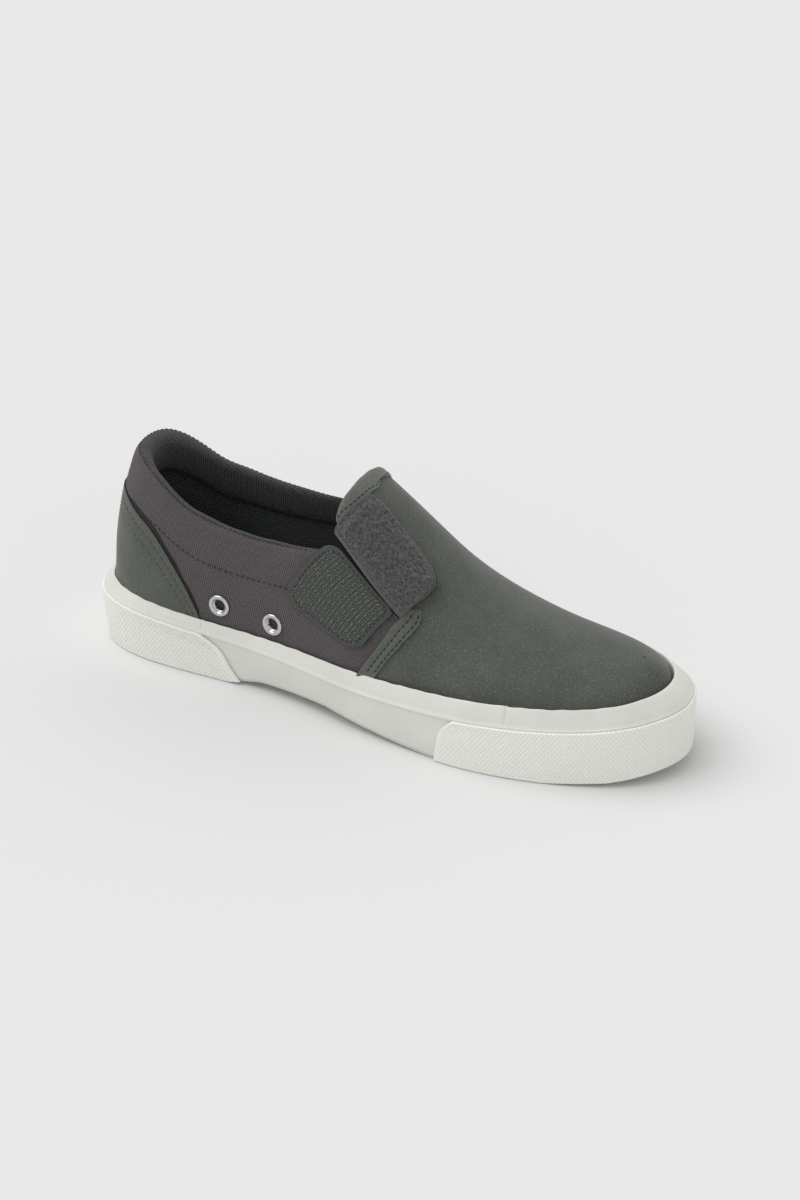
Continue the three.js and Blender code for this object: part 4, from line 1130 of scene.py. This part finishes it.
def foxing():
    notch = np.array([-0.016, -0.008, -0.0045, -0.002, 0, 0.002, 0.0045, 0.008, 0.016])
    spots = {float(turn_of(x / LENGTH, MEDIAL)): deep for x, deep in JOINTS.items()}
    turns = shares(540, -math.pi, math.pi)
    for spot in spots:
        turns = np.union1d(turns, spot + notch)
    turn, k = mesh_shares(turns, np.arange(len(foxing_section["inset"])))
    along = along_of(turn)
    wall = guard_depth(along) + GAP
    ridge_out = wall - RIDGE_INSET
    line, feather, floor = line_height(along), feather_height(along), floor_height(along) + 0.2
    ends = ramp(np.abs(np.sin(turn)), 0, 0.2)
    uneven = 0.16 * ripple(along * 300 + np.sign(turn) * 40, along * 80, 12, 0.9) * ends
    feather = feather + uneven - FEATHER_DROP * bump_rows(along - 0.82, 0.13) * (turn > 0) * ends
    inner = feather_inset(along) - VAMP_FACE
    kind, share = foxing_section["inset_kind"][k], foxing_section["inset"][k]
    start = RIDGE_INSET + 0.75
    inset = np.where(kind == 0, wall + lean_share(along) * BALL_WIDTH * share,
                     np.where(kind == 1, wall - ridge_out * share, start + (inner - start) * share))
    kind, lift = foxing_section["lift_kind"][k], foxing_section["lift"][k]
    z = np.where(kind == 0, floor + (line - 2 - floor) * lift,
                 np.where(kind == 1, line + lift, line + 0.5 + (feather - line - 0.5) * lift))
    on_band = (foxing_section["lift_kind"][k] == 2) & (foxing_section["inset"][k] < 1)
    sink = sum(deep * (bump_rows(turn - spot, 0.0035) + 0.3 * ramp(turn, spot, 0.004)
                       * ramp(spot + 0.09 - turn, 0, 0.09)) for spot, deep in spots.items())
    inset = inset + np.where(on_band, sink, 0)
    x, y = plan(turn, inset)
    points = np.stack([x, y, z], -1)
    points = np.concatenate([points, points[:, :1]], axis=1)
    piece = sew("foxing_band", points, [RUBBER])
    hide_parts("foxing")


def edge_run(turn):
    """Distance round the sole's edge from the heel, in millimetres."""
    turns = shares(4000, -math.pi, 2 * math.pi)
    x, y = plan(turns, 0)
    run = np.concatenate([[0], np.cumsum(np.hypot(np.diff(x), np.diff(y)))])
    return np.interp(turn, turns, run) - np.interp(0, turns, run)


def tread(u, z):
    """Height of the raised diamonds, from 0 in the grooves to 1."""
    x, y = u / TREAD_WIDTH, z / TREAD_HEIGHT
    def fold(a):
        return 0.5 - np.abs(a % 1 - 0.5)
    return eased(ramp(np.minimum(fold(x + y), fold(x - y)), 0.03, 0.24))


def guard(name, node, rows, at_heel):
    end = smooth(rows, "along", "share")
    vs = np.concatenate([[0, 0.015], shares(52, 0.03, 0.975), [0.99, 1.0]])
    u, share = mesh_shares(shares(640 if at_heel else 700, -1, 1), vs)
    turn_end = turn_of(end(share), LATERAL)
    turn = u * turn_end if at_heel else math.pi + u * (math.pi - turn_end)
    along = along_of(turn)
    floor, depth = floor_height(along), guard_depth(along)
    top = line_height(along) - GUARD_DROP
    z = floor + (top - floor) * share
    leaning = lean_share(along) * BALL_WIDTH * (1 - share) ** 1.7
    run = edge_run(turn)
    from_end = np.abs(run - edge_run(np.where(u < 0, turn[0], turn[-1])))
    cut_here = ramp(from_end, 2.2, 0.4) * ramp(top - z, 0.3, 0.3) * ramp(z - floor, 0.4, 0.4)
    groove = TREAD_DEPTH * (1 - tread(run, z)) * cut_here
    round_over = 0.5 * sum((1 - ramp(away, 0, 0.5)) ** 2 for away in (top - z, from_end, z - floor))
    outer = np.stack([*plan(turn, leaning + groove + round_over), z], -1)
    inner = np.stack([*plan(turn, leaning + depth), z], -1)
    flat = np.stack([run, z], -1) * MM
    piece = sew(name, outer, [DIAMOND_RUBBER], inner=inner, rim=0.15, cut=flat)
    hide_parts(node)


def stitch_row(name, turn, rise, offset, material, pitch=2.7, size=(0.95, 0.33, 0.26),
               skew=0.0):
    """Short stitches laid end to end along a line on the upper."""
    line, normals = skin(turn, rise, offset), skin_normal(turn, rise)
    run = np.concatenate([[0], np.cumsum(np.linalg.norm(np.diff(line, axis=0), axis=-1))])
    bm = bmesh.new()
    for n in range(int(run[-1] / pitch)):
        at = (n + 0.5) * pitch
        centre = np.array([np.interp(at, run, line[:, k]) for k in range(3)])
        ahead = np.array([np.interp(at + 0.5, run, line[:, k]) for k in range(3)])
        normal = Vector([np.interp(at, run, normals[:, k]) for k in range(3)]).normalized()
        forward = Vector(ahead - centre).normalized()
        forward.rotate(Matrix.Rotation(skew + 0.05 * math.sin(9.7 * n), 3, normal))
        across = normal.cross(forward).normalized()
        turned = Matrix((forward, across, normal)).transposed().to_4x4()
        add_bead(bm, centre, turned, size, 2)
    return add_object(name, bm, [material])


def stitching():
    end = turn_of(COUNTER_END - 0.008, LATERAL)
    turn = shares(200, -end, end)
    top = counter_edge(turn)
    for n, down in enumerate(COUNTER_ROWS):
        stitch_row(f"counter_stitches_{n}", turn, top - down / RISE_SPAN, COUNTER_FACE - 0.12,
                   TONAL_THREAD, size=(0.8, 0.28, 0.22))
    for name, rows, side in (("medial", medial_band, MEDIAL), ("lateral", lateral_band, LATERAL)):
        for n, across in enumerate(BAND_ROWS):
            turn, rise = band_point(rows, side, shares(80, 0.1, 0.97), np.full(81, across))
            offset = VAMP_FACE + BAND_FACE - 0.1
            stitch_row(f"band_stitches_{name}_{n}", turn, rise, offset, THREAD, pitch=2.5)
    for name, side in (("medial", MEDIAL), ("lateral", LATERAL)):
        along = shares(120, 0.1, 0.43)
        rise = smooth(quarter_seam, "rise")(along)
        stitch_row(f"quarter_stitches_{name}", turn_of(along, side), rise, CANVAS_FACE - 0.22,
                   CANVAS_THREAD, skew=0.12)
    end = turn_of(0.425, LATERAL)
    turn = shares(260, -end, end)
    stitch_row("collar_seam_stitches", turn, collar_rise(turn, -1.5, -0.35), -1.35,
               CANVAS_THREAD, pitch=2.3, size=(1.0, 0.34, 0.3))
    w = shares(120, -0.38, 0.46)
    side = np.where(w < 0, MEDIAL, LATERAL)
    rise = 1 - np.abs(w)
    along = smooth(binding_front, "along", "rise")(rise) - TAPE_ROW / LENGTH
    stitch_row("binding_stitches", turn_of(along, side), rise, VAMP_FACE + 0.62, THREAD,
               pitch=2.3)
    patch_stitches("hook_border_stitches", hook_corners, 0.055, GAP / 2 + CANVAS_FACE + PATCH_THICKNESS)


def patch_stitches(name, corners, inset, offset):
    t = shares(40, inset, 1 - inset)
    low, high = corner_cut(corners, (t - inset) / (1 - 2 * inset))
    low, high = inset + low, 1 - inset - high
    across, along = shares(20)[1:-1], np.ones(19)
    t = np.concatenate([t, along * t[-1], t[::-1], along * t[0]])
    v = np.concatenate([low, low[-1] + (high[-1] - low[-1]) * across, high[::-1],
                        high[0] + (low[0] - high[0]) * across])
    turn, rise = patch_spot(corners, t, v)
    stitch_row(name, turn, rise, offset, THREAD, pitch=2.4, size=(0.8, 0.28, 0.24))


vamp()
quarters()
lining()
collar_padding()
footbed()
counter()
edge_band("edge_band_medial_fold", "vamp_edge_band_medial", medial_band, MEDIAL)
edge_band("edge_band_lateral_fold", "vamp_edge_band_lateral", lateral_band, LATERAL)
binding()
hook_patch()
strap()
loop_patch()
for eyelet_name, (eyelet_along, eyelet_rise) in eyelets.items():
    eyelet_ring(eyelet_name, eyelet_along, eyelet_rise)
foxing()
guard("heel_guard_strip", "heel_guard", heel_guard_end, True)
guard("toe_guard_strip", "toe_guard", toe_guard_end, False)
stitching()
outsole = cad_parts["outsole"]
outsole.data.materials.clear()
outsole.data.materials.append(RUBBER)


def studio():
    bm = bmesh.new()
    bmesh.ops.create_grid(bm, x_segments=8, y_segments=8, size=4.0)
    mesh = bpy.data.meshes.new("studio_floor")
    bm.to_mesh(mesh)
    bm.free()
    floor = new_object("studio_floor", mesh)
    floor.location.z = -0.0002
    paint, tree, shader, where = new_material("pale_floor", 0.9, specular=0.0)
    tone = blend(tree, noise(tree, where["Object"], 1.5, 2.0), grey(231, 231, 231), grey(232, 232, 232))
    feed(tree, shader.inputs["Base Color"], tone)
    mesh.materials.append(paint)
    world = bpy.data.worlds.new("studio_world")
    bpy.context.scene.world = world
    world.use_nodes = True
    world.node_tree.nodes["Background"].inputs["Color"].default_value = (1, 1, 1, 1)
    world.node_tree.nodes["Background"].inputs["Strength"].default_value = 0.635
    for name, spot, spread, power in (("high_left_softbox", (-0.62, -0.2, 1.0), 55, 1.22),
                                      ("rear_softbox", (-0.1, 0.8, 0.7), 60, 0.2),
                                      ("front_fill", (0.6, -0.7, 0.45), 60, 0.11)):
        light = bpy.data.lights.new(name, "SUN")
        light.angle = math.radians(spread)
        light.energy = power
        lamp = new_object(name, light)
        lamp.location = spot
        lamp.rotation_euler = (-Vector(spot)).to_track_quat("-Z", "Y").to_euler()


def camera():
    azimuth, elevation, roll = math.radians(28.27), math.radians(29.11), math.radians(-0.18)
    aim, distance = Vector((-0.032195, 0.064347, 0)), 1.45708
    back = Vector((math.sin(azimuth) * math.cos(elevation), -math.cos(azimuth) * math.cos(elevation),
                   math.sin(elevation)))
    level = Vector((math.cos(azimuth), math.sin(azimuth), 0))
    above = back.cross(level)
    right = math.cos(roll) * level + math.sin(roll) * above
    up = math.cos(roll) * above - math.sin(roll) * level
    lens = bpy.data.cameras.new("photo_camera")
    lens.sensor_width = 36
    lens.lens = 98.18
    lens.clip_end = 50
    view = new_object("photo_camera", lens)
    turned = Matrix((right, up, back)).transposed().to_4x4()
    view.matrix_world = Matrix.Translation(aim + back * distance) @ turned
    bpy.context.scene.camera = view


studio()
camera()
bpy.context.scene.view_settings.view_transform = "Standard"
